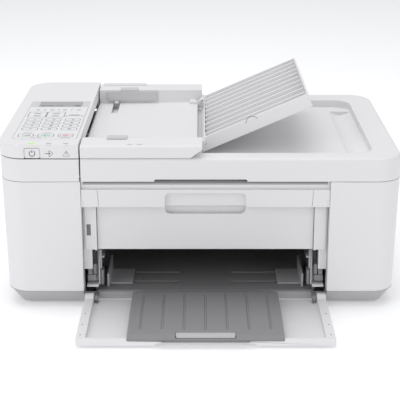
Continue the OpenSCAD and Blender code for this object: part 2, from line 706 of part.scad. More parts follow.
module carriage_motor() color("#85868a") at_origin() {
  rod_z(motor_x, belt_y, belt_z - 38, belt_z - 8, 12);
  box(motor_x - 14, motor_x + 14, rail_y + 2.2, belt_y + 12, belt_z - 8, belt_z - 6);
  rod_z(motor_x, belt_y, belt_z - 6, belt_z + 6, 1.5);
}
module pulley(x) difference() {
  union() {
    rod_z(x, belt_y, belt_z - 4, belt_z + 4, pulley_r - 1);
    rod_z(x, belt_y, belt_z - 5, belt_z - 4, pulley_r + 1.2);
    rod_z(x, belt_y, belt_z + 4, belt_z + 5, pulley_r + 1.2);
  }
  rod_z(x, belt_y, belt_z - 6, belt_z + 6, 1.5 + run);
}
module motor_pulley() color("#d8d8dc") at_origin() pulley(motor_x);
module idler_pulley() color("#d8d8dc") at_origin() pulley(idler_x);

module carriage_belt() color("#2b2b2e") at_origin() {
  inner = pulley_r - 0.8;
  outer = pulley_r + 0.4;
  for (side = [-1, 1])
    box(motor_x, idler_x, belt_y + (side < 0 ? -outer : inner), belt_y + (side < 0 ? -inner : outer),
      belt_z - 3, belt_z + 3);
  for (end = [[motor_x, motor_x, 1], [idler_x, idler_x, -1]]) difference() {
    rod_z(end[0], belt_y, belt_z - 3, belt_z + 3, outer);
    rod_z(end[0], belt_y, belt_z - 4, belt_z + 4, inner);
    translate([end[2] > 0 ? end[1] : end[1] - 20, belt_y - 10, belt_z - 4]) cube([20, 20, 8]);
  }
}

module maintenance_station() color("#606065") at_origin() {
  x0 = frame_r + 2;
  difference() {
    union() {
      box(x0, bx - 30, -40, 36, foot_h + 3, base_h + 0.5);
      box(x0, park_x + car_w / 2, -40, 36, base_h + 0.5, print_z - 8);
    }
    box(x0 + 4, park_x + car_w / 2 - 4, -36, 32, print_z - 26, print_z);
  }
  for (i = [0, 1]) {
    cap = park_x - car_w / 2 + 3.5 + bay_w / 2 + i * (bay_w + 3);
    difference() {
      box(cap - 9, cap + 9, car_y0 + 10, car_y0 + 34, print_z - 26, print_z - 4);
      box(cap - 7, cap + 7, car_y0 + 12, car_y0 + 32, print_z - 8, print_z);
    }
  }
}

module ink_absorber() color("#d7d4cf") at_origin()
  box(bx - 68, bx - 24, by - 88, by - 44, foot_h + 3, foot_h + 24);

module power_supply() color("#505055") at_origin() difference() {
  box(-bx + 34, frame_l - 22, by - 92, by - 24, foot_h + 3, print_z - 8);
  for (i = [0:6]) box(-bx + 38 + 5 * i, -bx + 40 + 5 * i, by - 84, by - 32, print_z - 9, print_z);
}

module logic_board() color("#2f6b45") at_origin() {
  box(-bx + 12, -bx + 13.6, -by + 46, by - 100, 26, 104);
  for (i = [0:3]) box(-bx + 13.6, -bx + 18, -by + 56 + 34 * i, -by + 76 + 34 * i, 40, 58);
  box(-bx + 13.6, -bx + 16, -by + 80, -by + 106, 66, 92);
}

socket_y = by - side_taper - 0.4;
module rear_sockets() color("#3b3b3f") at_origin() {
  difference() {
    box(inlet[0] + gap, inlet[1] - gap, by - 24, socket_y, inlet[2] + gap, inlet[3] - gap);
    round_slot(inlet[0] + 5, inlet[1] - 5, inlet[2] + 5, inlet[3] - 5, 5, by - 11, by);
  }
  for (dx = [-4, 4]) rod_y((inlet[0] + inlet[1]) / 2 + dx, by - 11, by - 3, (inlet[2] + inlet[3]) / 2, 1.2);
  difference() {
    box(ports[0] + gap, ports[1] - gap, by - 16, socket_y, ports[2] + gap, ports[3] - gap);
    box(ports[0] + 8, ports[0] + 20, by - 12, by, ports[3] - 20, ports[3] - 9);
    for (dz = [5, 22]) box(ports[1] - 18, ports[1] - 6, by - 12, by, ports[2] + dz, ports[2] + dz + 11);
  }
}

rear_axis_y = by - 5;
rear_axis_z = rear_open[2] + 4;
module rear_transport_cover() color("#efeef0") at_origin() {
  x0 = rear_open[0] + gap;
  x1 = rear_open[1] - gap;
  z1 = rear_open[3] - gap;
  y0 = by - wall - side_taper;
  difference() {
    union() {
      box(x0, x1, y0, by - side_taper, rear_open[2] + 1.6, z1);
      for (x = [x0 + 4, x1 - 10]) {
        rod_x(x, x + 6, rear_axis_y, rear_axis_z, 3);
        box(x, x + 6, rear_axis_y, y0 + 0.5, rear_axis_z - 3, rear_axis_z + 3);
      }
      for (i = [0:6]) {
        x = mid_x - 90 + 30 * i;
        translate([x - 1, 0, 0]) intersection() {
          box(0, 2, turn_y + 24.5, y0 + 0.1, rear_open[2] + 10, rear_axis_z + 35);
          difference() {
            box(0, 2, turn_y, y0 + 1, 0, z1);
            rod_x(-1, 3, turn_y, turn_z, turn_r + 6);
          }
        }
      }
    }
    for (x = [x0 - 1, x1 - 11]) rod_x(x, x + 12, rear_axis_y, rear_axis_z, 1.5 + run);
    round_slot(mid_x - 16, mid_x + 16, z1 - 12, z1 - 4, 3, by - side_taper - 1.2, by + 1);
  }
}

module scanner_base() color("#f0eff1") at_origin() {
  ins = wall + side_taper + 0.4;
  difference() {
    union() {
      body_plate(ins, scan_z, case_top);
    }
    // The well under the glass
    round_plate(-bx + ins + 3, bx - ins - 3, scan_front + 14, by - ins - 12, 6, scan_z + 2, ledge_z);
    // Room for the fascia and the side walls
    box(left_x - wall - 0.4, right_x + wall + 0.4, -by - 1, scan_front, scan_z - 1, case_top + 1);
    for (x = [left_x - wall - 0.4, right_x - 0.4])
      box(x, x + wall + 0.8, -by - 1, post_y + 12.4, scan_z - 1, case_top + 1);
    box(-bx, bx, -by, scan_front + 11, scan_z - 1, ledge_z);
    // Window and ledge of the scanning glass
    box(glass_x0 - 0.1, glass_x1 + 0.1, -glass_d / 2 - 0.1, glass_d / 2 + 0.1, glass_z, case_top + 1);
    box(glass_x0 + 4, glass_x1 - 4, -glass_d / 2 + 3, glass_d / 2 - 3, ledge_z - 1, glass_z + 1);
    // Window and ledge of the feeder's glass strip
    box(strip_glass_x - strip_glass_w / 2 - 0.1, strip_glass_x + strip_glass_w / 2 + 0.1,
      -glass_d / 2 - 0.1, glass_d / 2 + 0.1, glass_z, case_top + 1);
    box(strip_glass_x - strip_glass_w / 2 + 2, strip_glass_x + strip_glass_w / 2 - 2,
      -glass_d / 2 + 3, glass_d / 2 - 3, ledge_z - 1, glass_z + 1);
    for (x = hinge_xs) box(x - 14, x + 14, by - 9, by + 1, case_top - 9, case_top + 1);
  }
}

// Glass of the flat bed and the narrow strip that the feeder scans through
module platen_glass() color("#b9cfd6", 0.45) at_origin() {
  box(glass_x0, glass_x1, -glass_d / 2, glass_d / 2, glass_z, glass_z + glass_t);
  box(strip_glass_x - strip_glass_w / 2, strip_glass_x + strip_glass_w / 2, -glass_d / 2, glass_d / 2,
    glass_z, glass_z + glass_t);
}

scan_w = glass_d - 16;
module scan_carriage() color("#37373b") at_origin() {
  difference() {
    box(strip_glass_x - cis_w / 2, strip_glass_x + cis_w / 2, -scan_w / 2, scan_w / 2,
      scan_rail_z + 4.5, ledge_z - 0.8);
    box(strip_glass_x - 3, strip_glass_x + 3, -scan_w / 2 + 6, scan_w / 2 - 6, ledge_z - 2.6, ledge_z);
  }
  difference() {
    box(strip_glass_x - cis_w / 2, strip_glass_x + cis_w / 2, -8, 8, scan_rail_z - 3.4, scan_rail_z + 4.5);
    rod_x(strip_glass_x - 20, strip_glass_x + 20, 0, scan_rail_z, 2.5 + run);
  }
}
module scan_rail() color("#c6c7ca") at_origin() {
  rail0 = -bx + 20;
  rail1 = bx - 16;
  rod_x(rail0, rail1, 0, scan_rail_z, 2.5);
  for (x = [rail0, rail1 - 6]) box(x, x + 6, -5, 5, scan_z + 2, scan_rail_z - 2.5);
  box(rail0 + 6, rail1 - 6, 12, 13, scan_rail_z - 3, scan_rail_z + 2);
  rod_z(rail1 - 22, 30, scan_z + 2, scan_z + 10, 8);
}

module lid_hinges() color("#6f6e73") at_origin() for (x = hinge_xs) {
  box(x - 13.6, x + 13.6, hinge_y - 5, hinge_y + 3, case_top - 8.6, case_top - 1);
  for (dx = [-12, 7]) {
    box(x + dx, x + dx + 5, hinge_y - 3, hinge_y + 3, case_top - 1, hinge_z);
    rod_x(x + dx, x + dx + 5, hinge_y, hinge_z, hinge_r);
  }
  rod_x(x - 7, x + 7, hinge_y, hinge_z, pin_r);
}

// The document cover: a shell with the recess that takes the scanned sheets
module document_cover() color("#f4f3f5") at_origin() {
  difference() {
    intersection() {
      body_plate(0, lid_z, lid_top);
      box(lid_left, bx, -by, by, lid_z, lid_top);
    }
    difference() {
      intersection() {
        body_plate(wall, lid_z - 1, lid_top - wall);
        box(lid_left + 1.8, bx, -by, by, lid_z - 1, lid_top);
      }
      round_plate(lid_left + 1.8, recess_x1 + wall, recess_y0 - wall, recess_y1 + wall, 20,
        recess_z - wall, lid_top);
      box(recess_x1 - 30, recess_x1 + 1, recess_y0 + 20, recess_y1 - 20, recess_z - 7, recess_z);
    }
    round_plate(lid_left - 30, recess_x1, recess_y0, recess_y1, 20, recess_z, lid_top + 1);
    // Scoop for the fingers at the end of the recess
    intersection() {
      rod_y(recess_x1 - 14, recess_y0 + 24, recess_y1 - 24, recess_z + 15.5, 20);
      box(recess_x1 - 28, recess_x1 - 1, recess_y0, recess_y1, recess_z - 6, recess_z + 1);
    }
    // Finger edge under the front
    round_slot(-finger_w / 2, finger_w / 2, lid_z - 8, lid_z + 2.5, 2, -by - 1, -by + wall + 1);
    // Room for the base plate under the seam wall
    box(lid_left - 1, lid_left + 3, -by + wall + 0.3, by - 9.5, lid_z - 1, under_z + under_t);
    // Rear edge raised over the hinge line
    box(lid_left - 1, bx + 1, by - 9.5, by + 1, lid_z - 1, case_top + hinge_cut);
  }
  for (x = hinge_xs) difference() {
    union() {
      rod_x(x - 6.7, x + 6.7, hinge_y, hinge_z, hinge_r);
      box(x - 6.7, x + 6.7, hinge_y - 1.5, hinge_y + 1.5, hinge_z, case_top + hinge_cut);
      box(x - 6.7, x + 6.7, hinge_y - 3, by - wall, case_top + hinge_cut, case_top + hinge_cut + 4);
    }
    rod_x(x - 8, x + 8, hinge_y, hinge_z, pin_r + run);
  }
}

module lid_base() color("#d9d8dc") at_origin() difference() {
  intersection() {
    body_plate(wall + 0.3, under_z, under_z + under_t);
    box(-bx, bx, -by, by - 10, 0, lid_top);
  }
  box(strip_glass_x - 8, strip_glass_x + 8, -glass_d / 2 + 4, glass_d / 2 - 4, under_z - 1,
    under_z + under_t + 1);
}

module pressure_pad() color("#f6f6f4") at_origin()
  round_plate(glass_x0 + 3, glass_x1 - 3, -glass_d / 2 + 3, glass_d / 2 - 3, 4, lid_z, under_z);

// Walls of the left block under the panel
module feeder_housing() color("#f2f1f3") at_origin() {
  difference() {
    intersection() {
      body_plate(0, lid_z, housing_top);
      box(-bx, housing_right, -by, by, lid_z, housing_top);
    }
    intersection() {
      body_plate(wall, under_z - 1, housing_top + 1);
      box(-bx, housing_right - 2, -by, by, lid_z - 1, housing_top + 1);
    }
    intersection() {
      body_plate(wall, lid_z - 1, under_z + under_t);
      box(-bx, housing_right - 2, -by, by, lid_z - 1, housing_top + 1);
    }
    box(-bx - 1, housing_right + 1, by - 9.5, by + 1, lid_z - 1, case_top + hinge_cut);
    box(housing_right - 3, housing_right + 1, -by + wall + 0.3, by - 9.5, lid_z - 1, under_z + under_t);
    // Way in and way out of the documents
    box(housing_right - 5, housing_right + 1, -throat_w / 2, throat_w / 2, recess_z, housing_top + 1);
    for (y = panel_hinge_ys) box(-bx - 1, -bx + 6, y - 6.3, y + 6.3, housing_top - 1, housing_top + 1);
  }
  // Bearing plates of the document roller
  for (y = adf_bearings) difference() {
    box(adf_roll_x - 12, adf_roll_x + 12, y, y + 3, under_z + under_t, adf_roll_z + 5.5);
    rod_y(adf_roll_x, y - 1, y + 4, adf_roll_z, 3 + run);
  }
  for (y = panel_hinge_ys) {
    box(-bx + 0.4, -bx + 3.4, y - 6, y + 6, housing_top - 3, panel_axis_z);
    rod_y(panel_axis_x, y - 6, y + 6, panel_axis_z, 1.5);
    rod_y(panel_axis_x, y - 9, y + 9, panel_axis_z, 0.9);
  }
}
panel_hinge_ys = [-by + 55, by - 60];

throat_y = throat_w / 2;
module feeder_base() color("#e6e5e9") at_origin() {
  // Sloping floor of the throat
  difference() {
    translate([0, throat_y, 0]) rotate([90, 0, 0]) linear_extrude(throat_w) polygon([
      [lid_left, floor_z0 - 2], [lid_left, floor_z0], [floor_x1, floor_z1], [floor_x1, floor_z1 - 2]]);
    for (side = [-1, 1]) box(lid_left + 18, lid_left + 26, side > 0 ? 60 : -throat_y - 1,
      side > 0 ? throat_y + 1 : -60, floor_z0 - 4, floor_z1 + 1);
  }
  // Rear wall with its raised bar
  difference() {
    box(lid_left, feeder_end, throat_y, by - 2.5, lid_top, feeder_top);
    box(lid_left + 2, feeder_end - 2, throat_y + 2, by - 4.5, lid_top - 1, feeder_top - 2);
  }
  box(lid_left + 4, lid_left + 58, by - 14, by - 5, feeder_top, feeder_top + 2.5);
  // Ledge over the front of the recess, with the hinge ears of the document tray
  box(lid_left, feeder_end - 1, recess_y0, -throat_y, recess_z, lid_top);
  box(lid_left, feeder_end - 1, throat_y, recess_y1, recess_z, lid_top);
  for (side = [-1, 1]) {
    y = side < 0 ? -doc_w2 - gap - doc_ear_t : doc_w2 + gap;
    pin0 = side < 0 ? y + doc_ear_t : y - gap - 6;
    edge = side < 0 ? y : y + doc_ear_t;
    rod_y(doc_axis_x, y, y + doc_ear_t, doc_axis_z, 3);
    box(doc_axis_x - 16, doc_axis_x, y, y + doc_ear_t, doc_axis_z - 8, doc_axis_z - 2);
    box(doc_axis_x - 6, doc_axis_x + 2.4, y, y + doc_ear_t, doc_axis_z - 8, doc_axis_z - 0.5);
    box(doc_axis_x - 16, doc_axis_x - 8, min(edge, side * throat_y), max(edge, side * throat_y),
      doc_axis_z - 8, doc_axis_z - 2);
    rod_y(doc_axis_x, pin0, pin0 + gap + 6, doc_axis_z, 1.8);
  }
}

module feeder_front_cover() color("#f0eff1") at_origin() difference() {
  translate([0, -throat_y - 1, 0]) rotate([90, 0, 0]) linear_extrude(by - throat_y - 1) polygon([
    [lid_left, lid_top], [feeder_end - 13, lid_top], [feeder_end, lid_top + 10],
    [feeder_end, feeder_top], [lid_left, feeder_top]]);
  translate([0, -throat_y - 3, 0]) rotate([90, 0, 0]) linear_extrude(by - throat_y - 5) polygon([
    [lid_left + 2, lid_top - 1], [feeder_end - 14, lid_top - 1], [feeder_end - 2.2, lid_top + 10],
    [feeder_end - 2.2, feeder_top - 2], [lid_left + 2, feeder_top - 2]]);
  // Shadow groove along the lid
  box(lid_left - 1, feeder_end + 1, -by - 1, -by + 1.2, lid_top - 1, lid_top + 0.9);
}

// Drawn flat with its outer face down and the hinge line at the origin, then tilted
module document_tray() color("#eeedf0") at_origin()
  translate([doc_axis_x, 0, doc_axis_z]) rotate([0, -doc_slope, 0]) {
    in_z = doc_tray_t - doc_out;
    difference() {
      box(3.2, doc_tray_len, -doc_w2, doc_w2, -doc_out, in_z);
      box(5.2, doc_tray_len - 2, -doc_w2 + 2, doc_w2 - 2, -doc_out + 2.2, in_z + 1);
    }
    // Heel that hangs under the hinge line
    box(-5, 4, -doc_w2, doc_w2, -doc_out, -doc_out + 2.2);
    for (y = [-doc_w2, doc_w2 - 2]) box(-5, 4, y, y + 2, -doc_out, -4);
    for (i = [0:8]) {
      y = -doc_w2 + 16 + i * (doc_tray_w - 34) / 8;
      box(5.2, doc_tray_len - 2, y, y + 2, -doc_out + 2.2, in_z - 0.5);
    }
    for (side = [-1, 1]) difference() {
      y = side < 0 ? -doc_w2 : doc_w2 - 7;
      union() {
        rod_y(0, y, y + 7, 0, 3);
        box(0, 5.4, y, y + 7, -2.8, 1.5);
      }
      rod_y(0, y - 1, y + 8, 0, 1.8 + run);
    }
  }

// The front and the rear document guide, as a pair on one rack
module document_guide(side) {
  x0 = lid_left + 9;
  y = side * (sheet_w / 2 + gap);
  box(x0, x0 + 64, min(y, y + side * 2), max(y, y + side * 2), floor_z0 + 4, feeder_top - 0.8);
  // Finger tab over the edge of the throat
  box(x0 + 18, x0 + 40, min(y, y + side * 2), max(y, y + side * 2), feeder_top - 1, feeder_top + 1.4);
  box(x0 + 18, x0 + 40, min(y, y + side * 13), max(y, y + side * 13), feeder_top + gap, feeder_top + 1.4);
  box(x0 + 10.5, x0 + 15.5, min(y, y - side * 10.5), max(y, y - side * 10.5), floor_z0 + 2.2, floor_z0 + 4);
}
module document_guide_front() color("#c6c5ca") at_origin() document_guide(-1);
module document_guide_rear() color("#c6c5ca") at_origin() document_guide(1);

module feeder_rollers() color("#57565b") at_origin() {
  rod_y(adf_roll_x, adf_bearings[0] - 3, adf_bearings[1] + 6, adf_roll_z, 3);
  for (y = [-60, 0, 60]) rod_y(adf_roll_x, y - 14, y + 14, adf_roll_z, 9);
}

module panel_shell() {
  difference() {
    intersection() {
      body_plate(0, panel_z, panel_top);
      box(-bx, housing_right, -by, by, panel_z, panel_top);
    }
    intersection() {
      body_plate(wall, panel_z - 1, panel_top - wall);
      box(-bx, housing_right - 2, -by, by, panel_z - 1, panel_top);
    }
  }
  for (y = panel_hinge_ys) rod_y(panel_axis_x, y - 9, y + 9, panel_axis_z, 1.9);
}

module panel_housing() color("#f7f6f8") at_origin() {
  difference() {
    panel_shell();
    // Seat and window of the keypad film
    round_plate(film_x0 - 0.1, film_x1 + 0.1, film_y0 - 0.1, film_y1 + 0.1, 6,
      panel_top - film_t, panel_top + 1);
    box(lcd_x0 - 2, lcd_x1 + 2, lcd_y0 - 2, lcd_y1 + 2, panel_z, panel_top + 1);
    // Hole of the power key and windows of the lights
    round_slot(key_x - key_w / 2 - gap, key_x + key_w / 2 + gap, panel_z - 8, panel_z + key_h + 0.8,
      key_r + gap, -by - 1, -by + wall + 1);
    for (x = light_xs)
      box(x - 2.6, x + 2.6, -by + wall + 0.2, -by + wall + 3.4, panel_top - wall - 1, panel_top + 1);
    // Lower edge of the hinge side
    box(-bx - 1, -bx + wall + 0.1, -by, by, panel_z - 1, panel_z + 1);
    for (y = panel_hinge_ys) {
      box(-bx - 1, -bx + 4, y - 6 - gap, y + 6 + gap, panel_z - 1, panel_axis_z + 1.5 + gap);
      rod_y(panel_axis_x, y - 9.3, y + 9.3, panel_axis_z, 0.9 + run);
    }
    // Way in of the documents
    box(housing_right - 5, housing_right + 1, -throat_w / 2, throat_w / 2, panel_z - 1, panel_z + 1.5);
  }
}

module keypad_film() color("#eeeef0") at_origin()
  round_plate(film_x0, film_x1, film_y0, film_y1, 5.9, panel_top - film_t, panel_top);

board_z = panel_top - 9;
module display_and_board() color("#5c7f6a") at_origin() {
  box(lcd_x0 - 1.8, lcd_x1 + 1.8, lcd_y0 - 1.8, lcd_y1 + 1.8, board_z + 1.6, panel_top - film_t);
  box(film_x0 + 4, film_x1, film_y0, film_y1 - 1, board_z, board_z + 1.6);
  for (i = [0:3]) rod_z(film_x0 + 14 + 14 * i, film_y0 + 8, board_z + 1.6, panel_top - wall, 3);
}

module status_lights() color("#8fce3c") at_origin() for (x = light_xs)
  box(x - 2.5, x + 2.5, -by + wall + 0.3, -by + wall + 3.3, panel_top - 4.6, panel_top - 0.1);

module power_key() color("#f1f0f2") at_origin() {
  z0 = panel_z + gap;
  round_slot(key_x - key_w / 2, key_x + key_w / 2, z0, z0 + key_h, key_r, -by + 0.2, -by + wall + 1);
  box(key_x - key_w / 2 - 2, key_x - key_w / 2 + 2, -by + wall + 1, -by + wall + 2, z0 + 3, z0 + key_h);
  box(key_x + key_w / 2 - 2, key_x + key_w / 2 + 2, -by + wall + 1, -by + wall + 2, z0 + 3, z0 + key_h);
}

base_pan();
rubber_feet();
main_case();
front_frame();
tray_hinge_brackets();
paper_output_cover();
front_tray();
output_tray();
output_support();
paper_deck();
paper_guide_left();
paper_guide_right();
side_frames();
pickup_arm();
pickup_roller();
feed_roller();
pinch_rollers();
exit_roller();
star_wheels();
turn_roller();
feed_gear();
feed_motor();
print_platen();
carriage_rail();
pinch_brackets();
print_carriage();
cartridge_black();
cartridge_colour();
cartridge_lock_left();
cartridge_lock_right();
carriage_motor();
motor_pulley();
idler_pulley();
carriage_belt();
maintenance_station();
ink_absorber();
power_supply();
logic_board();
rear_sockets();
rear_transport_cover();
scanner_base();
platen_glass();
scan_carriage();
scan_rail();
lid_hinges();
document_cover();
lid_base();
pressure_pad();
feeder_housing();
feeder_base();
feeder_front_cover();
document_tray();
document_guide_front();
document_guide_rear();
feeder_rollers();
panel_housing();
keypad_film();
display_and_board();
status_lights();
power_key();
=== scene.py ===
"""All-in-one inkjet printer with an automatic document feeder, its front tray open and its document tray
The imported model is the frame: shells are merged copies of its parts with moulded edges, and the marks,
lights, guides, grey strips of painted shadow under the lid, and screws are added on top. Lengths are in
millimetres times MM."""

import json
import math

import bmesh
import bpy
from mathutils import Matrix, Vector

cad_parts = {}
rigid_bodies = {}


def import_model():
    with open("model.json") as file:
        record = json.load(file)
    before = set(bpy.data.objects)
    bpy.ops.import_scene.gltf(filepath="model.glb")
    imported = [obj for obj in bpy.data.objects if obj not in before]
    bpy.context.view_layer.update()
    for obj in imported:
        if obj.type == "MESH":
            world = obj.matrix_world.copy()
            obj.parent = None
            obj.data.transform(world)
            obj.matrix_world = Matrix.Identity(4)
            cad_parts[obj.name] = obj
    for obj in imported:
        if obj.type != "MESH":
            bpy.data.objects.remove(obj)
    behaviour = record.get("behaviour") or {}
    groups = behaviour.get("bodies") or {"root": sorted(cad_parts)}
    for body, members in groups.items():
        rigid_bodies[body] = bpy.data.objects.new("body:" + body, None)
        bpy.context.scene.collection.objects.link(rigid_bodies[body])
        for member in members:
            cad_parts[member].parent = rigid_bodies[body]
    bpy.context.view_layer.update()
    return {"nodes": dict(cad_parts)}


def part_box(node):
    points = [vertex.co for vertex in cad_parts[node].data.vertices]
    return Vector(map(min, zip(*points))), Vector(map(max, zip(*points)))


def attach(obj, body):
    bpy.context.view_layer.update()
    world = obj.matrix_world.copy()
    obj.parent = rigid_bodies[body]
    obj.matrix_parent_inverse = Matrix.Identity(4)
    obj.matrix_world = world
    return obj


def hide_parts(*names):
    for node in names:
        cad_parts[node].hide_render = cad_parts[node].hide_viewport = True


for leftover in list(bpy.data.objects):
    bpy.data.objects.remove(leftover)
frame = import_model()
MM = 0.001


# ---------------------------------------------------------------- shader maths


class Wire:
    """The output of a shader node; arithmetic on it adds Math nodes."""

    def __init__(self, tree, socket=None):
        self.tree = tree
        self.socket = socket

    def node(self, kind, feeds=None, settings=None, out=0):
        """Adds a node of any kind, sets it up, feeds its sockets and gives one of its outputs."""
        made = self.tree.nodes.new(kind)
        for name, value in (settings or {}).items():
            setattr(made, name, value)
        for name, value in (feeds or {}).items():
            if isinstance(value, Wire):
                self.tree.links.new(value.socket, made.inputs[name])
            else:
                made.inputs[name].default_value = value
        return Wire(self.tree, made.outputs[out])

    def maths(self, operation, first, second=0.0):
        return self.node("ShaderNodeMath", {0: first, 1: second}, {"operation": operation})

    def __add__(self, other):
        return self.maths("ADD", self, other)

    def __mul__(self, other):
        return self.maths("MULTIPLY", self, other)

    def __rsub__(self, other):
        return self.maths("SUBTRACT", other, self)


def rgba(colour):
    return (*colour, 1.0)


def start_finish(name):
    """An empty material, its shader and a wire to build with."""
    material = bpy.data.materials.new(name)
    material.use_nodes = True
    shader = material.node_tree.nodes["Principled BSDF"]
    return material, shader, Wire(material.node_tree)


def feed(shader, name, wire):
    wire.tree.links.new(wire.socket, shader.inputs[name])


def noise(wire, size_mm, detail=2.0, stretch=(1, 1, 1)):
    """Noise whose blobs are about size_mm across, stretched along an axis if asked."""
    place = wire.node("ShaderNodeTexCoord", out="Object")
    scaled = wire.node("ShaderNodeMapping", {"Vector": place, "Scale": stretch})
    return wire.node(
        "ShaderNodeTexNoise", {"Vector": scaled, "Scale": 1 / (size_mm * MM), "Detail": detail}
    )


def blend_colours(wire, factor, low, high):
    """A colour between two, by a wire from 0 to 1."""
    feeds = {"Factor": factor, 6: rgba(low), 7: rgba(high)}
    return wire.node("ShaderNodeMix", feeds, {"data_type": "RGBA"}, out=2)


def shade(colour, amount):
    return tuple(max(0.0, min(1.0, c * amount)) for c in colour)


def moulded(name, colour, roughness, grain=0.45, depth=0.012, mottle=0.03, coat=0.0):
    """Injection-moulded plastic: a spark-eroded grain, with a slight drift in tone and in shine."""
    material, shader, wire = start_finish(name)
    broad = noise(wire, 60, 3)
    skin = noise(wire, grain, 2)
    drift = broad * 0.7 + skin * 0.3
    tone = blend_colours(wire, drift, shade(colour, 1 - mottle), shade(colour, 1 + mottle))
    feed(shader, "Base Color", tone)
    feed(shader, "Roughness", skin * 0.10 + (broad * 0.06 + (roughness - 0.08)))
    bump = wire.node("ShaderNodeBump", {"Height": skin, "Strength": 0.6, "Distance": depth * MM})
    feed(shader, "Normal", bump)
    shader.inputs["Coat Weight"].default_value = coat
    shader.inputs["Coat Roughness"].default_value = 0.12
    return material


def rubber(name, colour):
    """Matt rubber with a dusty bloom and fine pits."""
    material, shader, wire = start_finish(name)
    bloom = noise(wire, 7, 4)
    pits = noise(wire, 0.5, 3)
    feed(shader, "Base Color", blend_colours(wire, bloom, shade(colour, 0.75), shade(colour, 1.5)))
    feed(shader, "Roughness", bloom * 0.15 + 0.7)
    feed(shader, "Normal", wire.node("ShaderNodeBump", {"Height": pits, "Distance": 0.05 * MM}))
    return material


def sheet_steel(name):
    """Zinc-plated steel, brushed along the printer."""
    material, shader, wire = start_finish(name)
    brushed = noise(wire, 0.5, 3, (0.02, 1, 1))
    spangle = noise(wire, 9, 2)
    feed(shader, "Base Color", blend_colours(wire, spangle, (0.52, 0.53, 0.55), (0.68, 0.69, 0.71)))
    feed(shader, "Roughness", brushed * 0.2 + 0.24)
    feed(shader, "Normal", wire.node("ShaderNodeBump", {"Height": brushed, "Distance": 0.01 * MM}))
    shader.inputs["Metallic"].default_value = 1.0
    return material


def felt(name, colour, size_mm):
    """Pressed fibre or foam, with a soft open surface."""
    material, shader, wire = start_finish(name)
    fibres = noise(wire, size_mm, 4)
    broad = noise(wire, 25, 2)
    tone = fibres * 0.6 + broad * 0.4
    feed(shader, "Base Color", blend_colours(wire, tone, shade(colour, 0.82), shade(colour, 1.08)))
    feed(shader, "Normal", wire.node("ShaderNodeBump", {"Height": fibres, "Distance": 0.3 * MM}))
    shader.inputs["Roughness"].default_value = 0.9
    return material


def circuit(name):
    """Green solder mask over copper tracks, with tinned pads."""
    material, shader, wire = start_finish(name)
    place = wire.node("ShaderNodeTexCoord", out="Object")
    tracks = wire.node(
        "ShaderNodeTexVoronoi",
        {"Vector": place, "Scale": 260.0, "Randomness": 0.35},
        {"distance": "MANHATTAN", "feature": "F1"},
    )
    copper = wire.maths("SMOOTH_MIN", tracks * 2.4, 1.0) * 0.8
    pads = wire.node(
        "ShaderNodeTexVoronoi", {"Vector": place, "Scale": 420.0, "Randomness": 0.8}
    )
    pad = wire.maths("LESS_THAN", pads, 0.16)
    mask = blend_colours(wire, copper, (0.012, 0.09, 0.04), (0.03, 0.2, 0.09))
    tinned = wire.node(
        "ShaderNodeMix", {"Factor": pad, 6: mask, 7: rgba((0.6, 0.6, 0.58))}, {"data_type": "RGBA"}, out=2
    )
    feed(shader, "Base Color", tinned)
    feed(shader, "Roughness", 0.42 - pad * 0.15)
    feed(shader, "Normal", wire.node("ShaderNodeBump", {"Height": tracks, "Distance": 0.05 * MM}))
    return material


def glass(name, tint):
    """Float glass with a faint haze of wiping marks."""
    material, shader, wire = start_finish(name)
    haze = noise(wire, 30, 3, (0.4, 1, 1))
    feed(shader, "Base Color", blend_colours(wire, haze, shade(tint, 0.97), tint))
    feed(shader, "Roughness", haze * 0.05 + 0.02)
    shader.inputs["Transmission Weight"].default_value = 0.92
    shader.inputs["IOR"].default_value = 1.5
    return material


def printed(name, colour, roughness=0.45):
    """Screen-printed ink, a little uneven where it lies on the grain."""
    material, shader, wire = start_finish(name)
    cover = noise(wire, 0.6, 2)
    feed(shader, "Base Color", blend_colours(wire, cover, colour, shade(colour, 1.15)))
    feed(shader, "Roughness", cover * 0.12 + roughness)
    return material


def lit_lens(name, colour, strength):
    """A diffusing light pipe, its glow varied by a faint random cloud."""
    material, shader, wire = start_finish(name)
    cloud = noise(wire, 2.5, 2)
    glow = blend_colours(wire, cloud, shade(colour, 0.8), colour)
    feed(shader, "Base Color", glow)
    feed(shader, "Emission Color", glow)
    feed(shader, "Roughness", cloud * 0.1 + 0.3)
    shader.inputs["Emission Strength"].default_value = strength
    return material


def display_face(name):
    """A reflective display behind its window: fine rows over a grey polariser."""
    material, shader, wire = start_finish(name)
    place = wire.node("ShaderNodeTexCoord", out="Object")
    rows = wire.node(
        "ShaderNodeTexWave",
        {"Vector": place, "Scale": 320.0, "Distortion": 0.0},
        {"bands_direction": "Y", "wave_profile": "SIN"},
    )
    cloud = noise(wire, 18, 2)
    tone = rows * 0.3 + cloud * 0.7
    feed(shader, "Base Color", blend_colours(wire, tone, (0.33, 0.33, 0.335), (0.40, 0.40, 0.405)))
    feed(shader, "Roughness", cloud * 0.08 + 0.2)
    shader.inputs["Coat Weight"].default_value = 0.5
    shader.inputs["Coat Roughness"].default_value = 0.06
    return material


